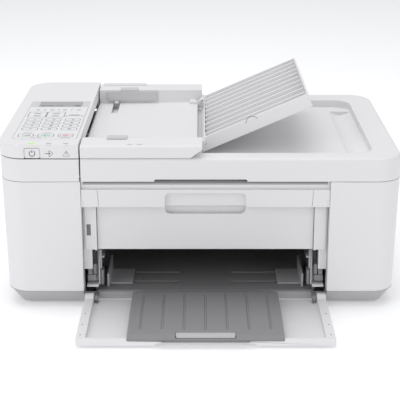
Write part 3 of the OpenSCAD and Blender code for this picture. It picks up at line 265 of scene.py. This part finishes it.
WHITE = (0.81, 0.80, 0.812)
FINISHES = {
    "case_white": moulded("case_white", WHITE, 0.46, 0.5, 0.014, 0.012),
    "front_white": moulded("front_white", (0.80, 0.79, 0.803), 0.44, 0.5, 0.012, 0.014),
    "base_grey": moulded("base_grey", (0.45, 0.44, 0.455), 0.5, 0.5, 0.02, 0.04),
    "inner_grey": moulded("inner_grey", (0.27, 0.268, 0.275), 0.48, 0.6, 0.02, 0.05),
    "light_grey": moulded("light_grey", (0.52, 0.518, 0.53), 0.45, 0.5, 0.015, 0.03),
    "dark_plastic": moulded("dark_plastic", (0.035, 0.035, 0.038), 0.5, 0.6, 0.02, 0.15),
    "lock_grey": moulded("lock_grey", (0.33, 0.34, 0.36), 0.42, 0.5, 0.015, 0.05),
    "gear_white": moulded("gear_white", (0.72, 0.71, 0.67), 0.38, 0.8, 0.01, 0.03),
    "rubber": rubber("rubber", (0.03, 0.03, 0.032)),
    "steel": sheet_steel("steel"),
    "absorber": felt("absorber", (0.62, 0.6, 0.56), 0.8),
    "pad_white": felt("pad_white", (0.86, 0.86, 0.85), 0.35),
    "board": circuit("board"),
    "glass": glass("glass", (0.92, 0.97, 0.95)),
    "guide_grey": moulded("guide_grey", (0.60, 0.598, 0.61), 0.45, 0.5, 0.012, 0.03),
    "film": moulded("film", (0.83, 0.83, 0.835), 0.36, 0.25, 0.006, 0.01, 0.15),
    "light_pipe": lit_lens("light_pipe", (0.5, 0.5, 0.5), 0.0),
}
INK_GREY = printed("ink_grey", (0.09, 0.09, 0.095))
INK_PALE = printed("ink_pale", (0.30, 0.30, 0.31))
INK_GREEN = printed("ink_green", (0.03, 0.42, 0.25))
INK_RED = printed("ink_red", (0.72, 0.07, 0.10))
INK_DISPLAY = printed("ink_display", (0.06, 0.06, 0.065), 0.3)
LIT_GREEN = lit_lens("lit_green", (0.32, 0.80, 0.03), 0.45)
SHADOW = moulded("shadow", (0.10, 0.10, 0.105), 0.6, 0.6, 0.01, 0.1)
DISPLAY = display_face("display")


# ---------------------------------------------------------------- pieces


def place_piece(name, mesh, body, finish):
    """Puts a finished mesh in the scene, gives it its finish and hangs it on its body."""
    made = bpy.data.objects.new(name, mesh)
    bpy.context.scene.collection.objects.link(made)
    mesh.materials.clear()
    mesh.materials.append(finish)
    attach(made, body)
    return made


def mesh_of(name, bm, smooth_angle=35):
    """A mesh from a bmesh, shaded smooth up to an angle."""
    mesh = bpy.data.meshes.new(name)
    bm.to_mesh(mesh)
    bm.free()
    if "custom_normal" in mesh.attributes:
        mesh.attributes.remove(mesh.attributes["custom_normal"])
    mesh.polygons.foreach_set("use_smooth", [True] * len(mesh.polygons))
    mesh.set_sharp_from_angle(angle=math.radians(smooth_angle))
    return mesh


def soften(made, width, segments=2):
    """A small moulded radius on every sharp edge."""
    edge = made.modifiers.new("moulded_edges", "BEVEL")
    edge.width = width * MM
    edge.segments = segments
    edge.limit_method = "ANGLE"
    edge.angle_limit = math.radians(40)
    edge.use_clamp_overlap = False
    even = made.modifiers.new("even_faces", "WEIGHTED_NORMAL")
    even.keep_sharp = True


def round_edges(bm, rule, radius, segments=6):
    """Rounds the convex sharp edges whose middle the rule accepts."""
    picked = []
    for edge in bm.edges:
        if len(edge.link_faces) != 2 or not edge.is_convex:
            continue
        if edge.calc_face_angle() < math.radians(30):
            continue
        if rule(*((edge.verts[0].co + edge.verts[1].co) / 2 / MM)):
            picked.append(edge)
    bmesh.ops.bevel(
        bm,
        geom=picked,
        offset=radius * MM,
        offset_type="OFFSET",
        segments=segments,
        profile=0.5,
        affect="EDGES",
        clamp_overlap=True,
        material=-1,
    )


def shell(name, node, finish=None, edge=0.35, rounds=()):
    """A merged copy of a CAD shell with its edges rounded, standing for that node."""
    source = frame["nodes"][node]
    slot = source.data.materials[0].name
    bm = bmesh.new()
    bm.from_mesh(source.data)
    bmesh.ops.remove_doubles(bm, verts=bm.verts, dist=0.01 * MM)
    bmesh.ops.dissolve_limit(
        bm, angle_limit=math.radians(0.4), verts=bm.verts[:], edges=bm.edges[:]
    )
    for rule, radius in rounds:
        round_edges(bm, rule, radius)
    made = place_piece(
        name, mesh_of(name, bm), source.parent.name.removeprefix("body:"), finish or FINISHES[slot]
    )
    soften(made, edge)
    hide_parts(node)
    return made


def block(bm, low, high):
    """A box between two corners, in millimetres."""
    low, high = Vector(low), Vector(high)
    size = Matrix.Diagonal(((high - low) * MM).to_4d())
    place = Matrix.Translation((low + high) / 2 * MM) @ size
    place[3][3] = 1.0
    bmesh.ops.create_cube(bm, size=1.0, matrix=place)


def blocks(name, boxes, body, finish, edge=0.3):
    """Rounded blocks as one piece."""
    bm = bmesh.new()
    for low, high in boxes:
        block(bm, low, high)
    made = place_piece(name, mesh_of(name, bm), body, finish)
    soften(made, edge)
    return made


def blade(name, side, x0, width, profile, finish, body="printer", edge=0.35):
    """A moulded blade: a profile in the Y and Z plane, given thickness along X."""
    bm = bmesh.new()
    ring = [bm.verts.new((x0 * MM, y * MM, z * MM)) for y, z in profile]
    face = bm.faces.new(ring)
    pushed = bmesh.ops.extrude_face_region(bm, geom=[face])
    new = [v for v in pushed["geom"] if isinstance(v, bmesh.types.BMVert)]
    bmesh.ops.translate(bm, verts=new, vec=(width * side * MM, 0, 0))
    bmesh.ops.recalc_face_normals(bm, faces=bm.faces)
    made = place_piece(name, mesh_of(name, bm), body, finish)
    soften(made, edge)
    return made


def ring_points(centre, radius, start=0.0, end=360.0, steps=20):
    """Points round an arc, in degrees."""
    angles = [math.radians(start + (end - start) * i / steps) for i in range(steps + 1)]
    return [(centre[0] + radius * math.cos(a), centre[1] + radius * math.sin(a)) for a in angles]


def round_outline(x0, x1, y0, y1, radius):
    """The outline of a rectangle with round corners."""
    points = []
    corners = [(x1 - radius, y1 - radius), (x0 + radius, y1 - radius)]
    corners += [(x0 + radius, y0 + radius), (x1 - radius, y0 + radius)]
    for turn, centre in enumerate(corners):
        points += ring_points(centre, radius, turn * 90, turn * 90 + 90, 5)
    return points


FRONT = Matrix.Rotation(math.radians(90), 4, "X")


def drawn(name, lines, width, body, finish, plane):
    """Thin printed lines on a plane: each line is (points, closed), in millimetres on that plane."""
    curve = bpy.data.curves.new(name, "CURVE")
    curve.dimensions = "3D"
    curve.bevel_depth = width / 2 * MM
    curve.bevel_resolution = 1
    curve.use_fill_caps = True
    for points, closed in lines:
        spline = curve.splines.new("POLY")
        spline.points.add(len(points) - 1)
        spline.use_cyclic_u = closed
        for point, (x, y) in zip(spline.points, points):
            point.co = (x * MM, y * MM, 0.0, 1.0)
    holder = bpy.data.objects.new(name, curve)
    bpy.context.scene.collection.objects.link(holder)
    bpy.context.view_layer.update()
    mesh = bpy.data.meshes.new_from_object(holder)
    bpy.data.objects.remove(holder)
    mesh.transform(plane @ Matrix.Diagonal((1, 1, 0.25, 1)))
    mesh.polygons.foreach_set("use_smooth", [True] * len(mesh.polygons))
    return place_piece(name, mesh, body, finish)


def lettered(name, words, size, body, finish, plane):
    """Raised digits and signs, each (sign, x, y), in millimetres on a plane."""
    bm = bmesh.new()
    for sign, x, y in words:
        text = bpy.data.curves.new(name, "FONT")
        text.body = sign
        text.size = size * MM
        text.extrude = 0.03 * MM
        text.align_x = "CENTER"
        text.align_y = "CENTER"
        text.resolution_u = 3
        holder = bpy.data.objects.new(name, text)
        bpy.context.scene.collection.objects.link(holder)
        bpy.context.view_layer.update()
        mesh = bpy.data.meshes.new_from_object(holder)
        bpy.data.objects.remove(holder)
        mesh.transform(plane @ Matrix.Translation((x * MM, y * MM, 0)))
        bm.from_mesh(mesh)
        bpy.data.meshes.remove(mesh)
    return place_piece(name, mesh_of(name, bm, 30), body, finish)


def on_top(z):
    return Matrix.Translation((0, 0, z * MM))


def on_front(y):
    return Matrix.Translation((0, y * MM, 0)) @ FRONT


def corners_mm(node):
    low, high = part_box(node)
    return Vector(low) / MM, Vector(high) / MM


# ---------------------------------------------------------------- moulded shells

case_low, case_high = corners_mm("main_case")
lid_low, lid_high = corners_mm("document_cover")
housing_low, housing_high = corners_mm("panel_housing")
CORNER = 28  # radius of the upright corners
NEAR_TOP, NEAR_SIDE = 0.3, 0.5  # how close an edge lies to the top or to a side


def outer_top(low, high, sides):
    """A rule for the edges along the named outer sides of a shell's top, with its round corners."""

    def rule(x, y, height):
        if abs(height - high.z) > NEAR_TOP:
            return False
        near = {
            "left": x < low.x + NEAR_SIDE,
            "right": x > high.x - NEAR_SIDE,
            "front": y < low.y + NEAR_SIDE,
            "back": y > high.y - NEAR_SIDE,
        }
        if any(near[side] for side in sides):
            return True
        left = "left" in sides and x < low.x + CORNER
        right = "right" in sides and x > high.x - CORNER
        front = "front" in sides and y < low.y + CORNER
        back = "back" in sides and y > high.y - CORNER
        return (left or right) and (front or back)

    return rule


shell("lid_top", "document_cover", edge=0.45, rounds=[
    (outer_top(lid_low, lid_high, ("right", "front", "back")), 3.2)])
shell("panel_cover", "panel_housing", edge=0.4, rounds=[
    (outer_top(housing_low, housing_high, ("left", "front", "back")), 2.6)])
feeder_low, feeder_high = corners_mm("feeder_front_cover")
shell("feeder_cover", "feeder_front_cover", edge=0.4, rounds=[
    (outer_top(feeder_low, feeder_high, ("front",)), 2.6)])
shell("feeder_side", "feeder_housing", edge=0.4)
shell("feeder_floor", "feeder_base", edge=0.3)
shell("sheet_tray", "document_tray", edge=0.7)
shell("case", "main_case", edge=0.35)
shell("base", "base_pan", edge=0.8)
shell("scanner_frame", "scanner_base", edge=0.3)
shell("front_fascia", "front_frame", edge=0.35)
shell("output_door", "paper_output_cover", edge=0.45)
shell("front_door_tray", "front_tray", edge=0.5)
shell("sliding_tray", "output_tray", edge=0.5)
shell("sliding_support", "output_support", edge=0.6)
shell("deck", "paper_deck", edge=0.3)
shell("stack_guide_left", "paper_guide_left", edge=0.5)
shell("stack_guide_right", "paper_guide_right", edge=0.5)
shell("sheet_guide_front", "document_guide_front", FINISHES["guide_grey"], 0.3)
shell("sheet_guide_rear", "document_guide_rear", FINISHES["guide_grey"], 0.3)
shell("power_button", "power_key", edge=0.4)
shell("rear_door", "rear_transport_cover", edge=0.4)
shell("lid_underside", "lid_base", edge=0.3)
shell("white_pad", "pressure_pad", edge=1.0)
shell("carriage_body", "print_carriage", edge=0.5)
shell("tank_black", "cartridge_black", edge=0.6)
shell("tank_colour", "cartridge_colour", edge=0.6)
shell("lock_left", "cartridge_lock_left", edge=0.5)
shell("lock_right", "cartridge_lock_right", edge=0.5)
shell("scan_head", "scan_carriage", edge=0.5)
shell("parking_dock", "maintenance_station", edge=0.6)
shell("supply", "power_supply", edge=0.8)
shell("roller_frames", "side_frames", edge=0.25)
shell("platen", "print_platen", edge=0.4)
shell("lift_arm", "pickup_arm", edge=0.4)
shell("tray_brackets", "tray_hinge_brackets", edge=0.3)

for node in frame["nodes"].values():
    for index, held in enumerate(node.data.materials):
        if held is not None and held.name in FINISHES:
            node.material_slots[index].material = FINISHES[held.name]


# ---------------------------------------------------------------- control panel

film_low, film_high = corners_mm("keypad_film")
FILM_Z = film_high.z
PRINT_SINK = 0.02  # how far a printed line's axis lies off its surface
KEY_COLUMNS = [film_low.x + 13.5, film_low.x + 35.0, film_low.x + 57.0]
KEY_ROWS = [film_low.y + 81.8 - 13.4 * row for row in range(4)]
KEY_W, KEY_D = 17.5, 9.3
COPY_X, START_X, STOP_X = film_low.x + 12.9, film_low.x + 34.7, film_low.x + 56.3
WIDE_HALF_W, WIDE_HALF_D = 10.2, 12.0
display_low = Vector((film_low.x + 10.0, film_high.y - 29.5))
display_high = Vector((film_high.x - 8.5, film_high.y - 5.5))


def control_panel():
    """Display, printed keys and signs on the keypad film."""
    blocks("display_band", [((film_low.x + 0.6, display_low.y - 0.5, FILM_Z - 0.1),
                             (film_high.x - 0.4, display_high.y + 2.4, FILM_Z + 0.10))],
           "panel", moulded("band", (0.66, 0.66, 0.67), 0.25, 0.3, 0.003, 0.01, 0.3), 0.08)
    blocks("display_window", [((*display_low, FILM_Z), (*display_high, FILM_Z + 0.35))],
           "panel", DISPLAY, 0.15)
    base = display_low.y + 3.4
    bars = []
    for i, width in enumerate((3.2, 2.2, 3.6, 2.6, 1.8, 3.0)):
        x = display_low.x + 3.4 + i * 3.9 + (3 if i > 3 else 0)
        bars.append(([(x, base), (x + width, base)], False))
        bars.append(([(x, base + 1.7), (x + width * 0.7, base + 1.7)], False))
    corner = display_high.x - 7.6
    bars.append((round_outline(corner, corner + 5.4, base - 1.1, base + 2.6, 0.7), True))
    bars.append(([(corner + 1.2, base + 0.7), (corner + 4.2, base + 0.7)], False))
    drawn("display_segments", bars, 0.9, "panel", INK_DISPLAY, on_top(FILM_Z + 0.36))

    rims = [(round_outline(x - KEY_W / 2, x + KEY_W / 2, y - KEY_D / 2, y + KEY_D / 2, 2.6), True)
            for x in KEY_COLUMNS for y in KEY_ROWS]
    wide_y = film_low.y + 105.5
    for x in (KEY_COLUMNS[0], KEY_COLUMNS[1]):
        rims.append((round_outline(x - WIDE_HALF_W, x + WIDE_HALF_W, wide_y - WIDE_HALF_D,
                                   wide_y + WIDE_HALF_D, 1.2), True))
    bottom_y = film_low.y + 14.6
    for x, half in ((COPY_X, 8.2), (START_X, 8.6), (STOP_X, 8.0)):
        rims.append((round_outline(x - half, x + half, bottom_y - 6, bottom_y + 6, 2.6), True))
    drawn("key_rims", rims, 1.0, "panel", INK_PALE, on_top(FILM_Z))

    signs = ["1", "2", "3", "4", "5", "6", "7", "8", "9", "*", "0", "#"]
    digits = [(sign, KEY_COLUMNS[i % 3] + 0.2, KEY_ROWS[i // 3] + 0.4) for i, sign in enumerate(signs)]
    lettered("key_digits", digits, 7.0, "panel", INK_GREY, on_top(FILM_Z + PRINT_SINK))

    marks = []
    soft_y = film_low.y + 128.3
    for i, x in enumerate((11.6, 28.0, 43.0, 59.5)):
        mid = film_low.x + x
        marks.append(([(mid - 2.6, soft_y), (mid + 2.6, soft_y)], False))
        marks.append(([(mid - 1.8, soft_y - 1.8), (mid + 1.8, soft_y - 1.8)], False))
        if i < 3:
            cut = mid + 7.8
            marks.append(([(cut - 0.8, soft_y - 2.4), (cut + 0.8, soft_y + 1.4)], False))
    for x in (KEY_COLUMNS[0], KEY_COLUMNS[1]):
        for dy in (5.6, -4.8):
            marks.append(([(x - 4.4, wide_y + dy), (x + 4.4, wide_y + dy)], False))
            marks.append(([(x - 3.2, wide_y + dy - 2.2), (x + 3.4, wide_y + dy - 2.2)], False))
    right = KEY_COLUMNS[2]
    marks.append(([(right - 5, wide_y - 0.5), (right + 5, wide_y - 0.5)], False))
    marks.append(([(right - 9.5, wide_y - 9), (right - 9.5, wide_y - 5.5), (right + 9.5, wide_y - 5.5),
                   (right + 9.5, wide_y - 9)], False))
    marks.append(([(right - 6.5, wide_y - 3.3), (right + 6.5, wide_y - 3.3)], False))
    for x in KEY_COLUMNS[:2]:
        marks.append(([(x - 4.5, film_low.y + 25), (x + 4.5, film_low.y + 25)], False))
    for x in (film_low.x + 25, film_low.x + 56.6):
        marks.append(([(x - 5.5, film_low.y + 5.2), (x + 5.5, film_low.y + 5.2)], False))
    marks.append(([(film_low.x + 23.2, bottom_y), (film_low.x + 24.4, bottom_y)], False))
    x = COPY_X
    marks.append(([(x - 3.6, bottom_y - 1.6), (x - 1.6, bottom_y + 2), (x + 0.2, bottom_y - 1.6)], False))
    marks.append((ring_points((x + 2.6, bottom_y), 1.7), True))
    drawn("key_marks", marks, 0.95, "panel", INK_GREY, on_top(FILM_Z))

    x = START_X
    drawn("start_sign", [
        ([(x, bottom_y + 3), (x + 3, bottom_y), (x, bottom_y - 3), (x - 3, bottom_y)], True),
        ([(x - 5.6, bottom_y), (x + 0.8, bottom_y)], False),
        ([(x + 4.2, bottom_y - 2), (x + 4.2, bottom_y + 2)], False)],
        1.0, "panel", INK_GREEN, on_top(FILM_Z))
    x = STOP_X
    drawn("stop_sign", [
        (ring_points((x, bottom_y), 2.6), True),
        ([(x - 1.6, bottom_y - 1.6), (x + 1.6, bottom_y + 1.6)], False),
        ([(x - 5.4, bottom_y - 1.5), (x - 5.4, bottom_y + 1.5)], False),
        ([(x + 5.4, bottom_y - 1.5), (x + 5.4, bottom_y + 1.5)], False)],
        1.0, "panel", INK_RED, on_top(FILM_Z))
    drawn("film_edge", [(round_outline(film_low.x - 0.2, film_high.x - 0.6, film_low.y + 0.4,
                                       film_high.y - 0.2, 6), True)],
          0.5, "panel", INK_PALE, on_top(FILM_Z - PRINT_SINK))


control_panel()


def status_row():
    """Three light pipes over their signs, the first one lit, and the power sign on its key."""
    low, high = corners_mm("status_lights")
    key_low, key_high = corners_mm("power_key")
    key_mid = (key_low.x + key_high.x) / 2
    data_x, alarm_x = key_mid + 18.2, key_mid + 36.5
    unlit = FINISHES["light_grey"]
    edge_r, proud = 1.5, 0.06
    centre_y, centre_z = housing_low.y + edge_r, housing_high.z - edge_r
    for name, x, width, finish in (("power_light", key_mid, 4.9, LIT_GREEN),
                                   ("data_light", data_x, 4.6, unlit),
                                   ("alarm_light", alarm_x, 4.6, unlit)):
        bend = [(centre_y - (edge_r + proud) * math.cos(math.radians(a)),
                 centre_z + (edge_r + proud) * math.sin(math.radians(a))) for a in range(0, 91, 15)]
        profile = [(high.y, low.z), (bend[0][0] + 0.8, bend[0][1])] + bend + [(high.y, bend[-1][1])]
        made = blade(name, 1, x - width / 2, width, profile, finish, "panel", 0.2)
        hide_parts("status_lights")
    face = housing_low.y - PRINT_SINK
    sign_z = 178.8  # height of the signs above the desk
    drawn("power_sign", [
        (ring_points((key_mid, sign_z), 3.0, 125, 415, 24), False),
        ([(key_mid, sign_z + 0.6), (key_mid, sign_z + 4.2)], False)],
        0.8, "power_key", INK_GREY, on_front(key_low.y - PRINT_SINK))
    x, z = data_x, sign_z
    drawn("data_sign", [
        ([(x - 0.6, z + 2.2), (x + 0.6, z + 3.4), (x + 4.0, z), (x + 0.6, z - 3.4),
          (x - 0.6, z - 2.2)], False),
        ([(x - 4.6, z), (x + 1.2, z)], False),
        ([(x - 0.4, z + 1.5), (x + 1.3, z), (x - 0.4, z - 1.5)], False)],
        0.65, "panel", INK_GREY, on_front(face))
    x = alarm_x
    drawn("alarm_sign", [
        ([(x, z + 3.2), (x + 3.6, z - 2.8), (x - 3.6, z - 2.8)], True),
        ([(x, z + 1.4), (x, z - 0.6)], False),
        ([(x, z - 1.7), (x, z - 1.5)], False)],
        0.65, "panel", INK_GREY, on_front(face))


status_row()


# ---------------------------------------------------------------- paper opening

frame_low, frame_high = corners_mm("front_frame")
door_low = corners_mm("paper_output_cover")[0]
tray_low, tray_high = corners_mm("front_tray")


def sensor_window():
    """The dark window let into the left post."""
    x = frame_low.x + 3.8
    y = door_low.y - 4.55
    bottom, top = 82.5, 96
    blocks("sensor_window", [((x, y, bottom), (x + 5.2, y + 1.2, top))], "printer",
           moulded("window_dark", (0.15, 0.15, 0.155), 0.3, 0.5, 0.01, 0.05, 0.3), 0.4)


sensor_window()


def lid_shadow_strips():
    """Two grey strips under the lid, along the top of the recess over the fascia: painted shadow of the
    lid's overhang, not a real seal.
    """
    x0, x1 = frame_low.x + 2.5, frame_high.x - 2.5
    y = frame_low.y + 3.0
    top, middle, bottom = frame_high.z - 0.1, frame_high.z - 1.9, frame_high.z - 3.7
    # Painted shadow: the upper strip is a darker grey, the lower one a lighter grey set a little back, so
    # the shade fades downwards from the lid's lip.
    for name, tone, z0, z1, depth in (("seal_upper", 0.24, middle, top, 0.0),
                                      ("seal_lower", 0.42, bottom, middle, 0.15)):
        blocks(name, [((x0, y + depth, z0), (x1, y + 0.7, z1))], "printer",
               moulded(name, (tone, tone * 0.985, tone * 1.01), 0.6, 0.5, 0.01, 0.05), 0.1)


lid_shadow_strips()


def opening_side(tag, side, edge):
    """Guides, latch and blocks beside the paper path under one post. The opening lies on the side
    of edge that side points to: +1 for the left post, -1 for the right one."""
    inner = FINISHES["inner_grey"]
    pale = FINISHES["light_grey"]
    y = door_low.y + 3
    foot, head, curl = 22, 64, 0.0035
    sweep = [(y - 1 + curl * (z - foot) ** 2, z) for z in range(foot, head + 1, 4)]
    curve = sweep + [(y + 16, head), (y + 16, foot)]
    blade("side_guide_" + tag, side, edge + side * 15.4, 1.6, curve, pale)
    boxes = []

    def span(a, b, y0, y1, z0, z1):
        x0, x1 = sorted((edge + side * a, edge + side * b))
        boxes.append(((x0, y0, z0), (x1, y1, z1)))

    span(3.0, 12.6, y - 1.5, y + 6, 26.5, 33.5)
    span(4.0, 8.5, y - 2.5, y + 6, 34.2, 41.5)
    span(9.3, 13.0, y - 0.5, y + 6, 34.2, 46.0)
    span(17.4, 20.6, y + 2, y + 14, 20.5, 38.0)
    blocks("latch_block_" + tag, boxes, "printer", inner, 0.5)
    boxes.clear()
    span(17.3, 18.7, y + 1.5, y + 13.0, 40.0, 62.0)
    span(18.4, 21.6, y + 4.0, y + 13.0, 52.0, 54.0)
    blocks("guide_ribs_" + tag, boxes, "printer", pale, 0.3)
    boxes.clear()
    span(9.9, 13.4, y + 2, y + 8, 43.0, 62.5)
    blocks("slot_shadow_" + tag, boxes, "printer", FINISHES["dark_plastic"], 0.3)


opening_side("left", 1, frame_low.x)
opening_side("right", -1, frame_high.x)


def tray_fittings():
    """Stops, dots and end blocks on the arms of the open front tray."""
    boxes = []
    dots = []
    for side, edge in ((1, tray_low.x), (-1, tray_high.x)):
        for y in (tray_low.y + 9, tray_low.y + 34, tray_low.y + 62):
            x0, x1 = sorted((edge + side * 3.6, edge + side * 5.0))
            dots.append(((x0, y, 10.4), (x1, y + 1.6, 11.05)))
        x0, x1 = sorted((edge + side * 1.2, edge + side * 8.6))
        boxes.append(((x0, tray_low.y + 3.0, 10.3), (x1, tray_low.y + 6.4, 11.5)))
    blocks("tray_end_blocks", boxes, "front_tray", FINISHES["case_white"], 0.4)
    blocks("tray_dots", dots, "front_tray", SHADOW, 0.2)


tray_fittings()


# ---------------------------------------------------------------- feeder and document tray

sheet_low = corners_mm("document_tray")[0]
SLOPE = math.radians(23.5)  # slope of the raised tray
HINGE = Vector((2.0, 0.0, 177.4))  # a point on the tray's hinge axis


def on_tray(along, above=0.0):
    """A point in the X and Z plane of the raised document tray, from its hinge."""
    x = HINGE.x + along * math.cos(SLOPE) - above * math.sin(SLOPE)
    z = HINGE.z + along * math.sin(SLOPE) + above * math.cos(SLOPE)
    return x, z


def tray_marks():
    """The thumb mark on the tray's front wall."""
    arch = [on_tray(52, 0.5), on_tray(54.5, 4.2), on_tray(59, 5.8), on_tray(63.5, 4.2), on_tray(66, 0.5)]
    drawn("thumb_mark", [(arch, False)], 0.8, "document_tray", INK_PALE,
          on_front(sheet_low.y - PRINT_SINK))


tray_marks()


def cover_marks():
    """Two small side-guide marks on the feeder's front cover."""
    bars = []
    for x in (feeder_low.x + 53, feeder_low.x + 63.5):
        bars.append(([(x - 3.6, feeder_low.y + 7.5), (x + 3.6, feeder_low.y + 7.5)], False))
        bars.append(([(x - 2.4, feeder_low.y + 5.2), (x + 2.4, feeder_low.y + 5.2)], False))
    drawn("size_marks", bars, 1.0, "lid", INK_PALE, on_top(feeder_high.z - PRINT_SINK))


cover_marks()


# ---------------------------------------------------------------- back and underside


def screw_heads():
    """Plain heads of the screws that hold the base to the case, under the base."""
    base_low, base_high = corners_mm("base_pan")
    bm = bmesh.new()
    centres = [(base_low.x + 26, base_high.y - 30), (base_high.x - 26, base_high.y - 30),
               (base_low.x + 34, base_low.y + 34), (base_high.x - 34, base_low.y + 34)]
    for x, y in centres:
        turned = Matrix.Translation((x * MM, y * MM, (base_low.z + 0.2) * MM))
        bmesh.ops.create_cone(bm, cap_ends=True, segments=24, radius1=2.4 * MM, radius2=3.2 * MM,
                              depth=1.2 * MM, matrix=turned)
    made = place_piece("base_screws", mesh_of("base_screws", bm), "printer", FINISHES["steel"])
    soften(made, 0.2)


screw_heads()


def rating_plate():
    """A blank silver plate on the back, above the mains inlet."""
    low = (case_low.x + 34, case_high.y - 1.4, 96)
    high = (case_low.x + 84, case_high.y - 0.35, 120)
    silver = printed("plate_silver", (0.62, 0.62, 0.63), 0.35)
    blocks("rating_plate", [(low, high)], "printer", silver, 0.15)


rating_plate()


# ---------------------------------------------------------------- studio


def studio():
    """A pale floor, soft lights and the camera."""
    bm = bmesh.new()
    bmesh.ops.create_grid(bm, x_segments=1, y_segments=1, size=9.0)
    material, shader, wire = start_finish("floor")
    pale = blend_colours(wire, noise(wire, 900, 2), (0.93, 0.93, 0.935), (0.95, 0.95, 0.955))
    feed(shader, "Base Color", pale)
    feed(shader, "Emission Color", pale)
    shader.inputs["Emission Strength"].default_value = 0.22
    shader.inputs["Roughness"].default_value = 0.7
    mesh = mesh_of("floor", bm)
    mesh.materials.append(material)
    floor = bpy.data.objects.new("floor", mesh)
    bpy.context.scene.collection.objects.link(floor)

    scene = bpy.context.scene
    scene.view_settings.view_transform = "Standard"
    sky = bpy.data.worlds.new("sky")
    sky.use_nodes = True
    sky.node_tree.nodes["Background"].inputs["Color"].default_value = (0.97, 0.98, 1.0, 1.0)
    sky.node_tree.nodes["Background"].inputs["Strength"].default_value = 0.585
    scene.world = sky

    def softbox(name, place, aim, size, power):
        light = bpy.data.lights.new(name, "AREA")
        light.shape = "RECTANGLE"
        light.size, light.size_y = size
        light.energy = power
        holder = bpy.data.objects.new(name, light)
        holder.location = place
        holder.rotation_euler = (Vector(aim) - Vector(place)).to_track_quat("-Z", "Y").to_euler()
        scene.collection.objects.link(holder)

    softbox("overhead", (-0.1, 0.2, 1.9), (0, 0.05, 0.1), (1.8, 1.6), 16)
    softbox("key", (-1.5, -1.5, 1.3), (0, 0, 0.1), (1.2, 1.2), 8)
    softbox("fill", (1.3, -1.8, 0.8), (0, 0, 0.1), (1.2, 1.0), 3)

    lens = bpy.data.cameras.new("camera")
    lens.sensor_width = 36
    lens.lens = 104.1
    lens.shift_x = -0.002
    camera = bpy.data.objects.new("camera", lens)
    camera.location = (0, -1.277, 0.525)
    camera.rotation_euler = (math.radians(71.36), 0, 0)
    scene.collection.objects.link(camera)
    scene.camera = camera


studio()
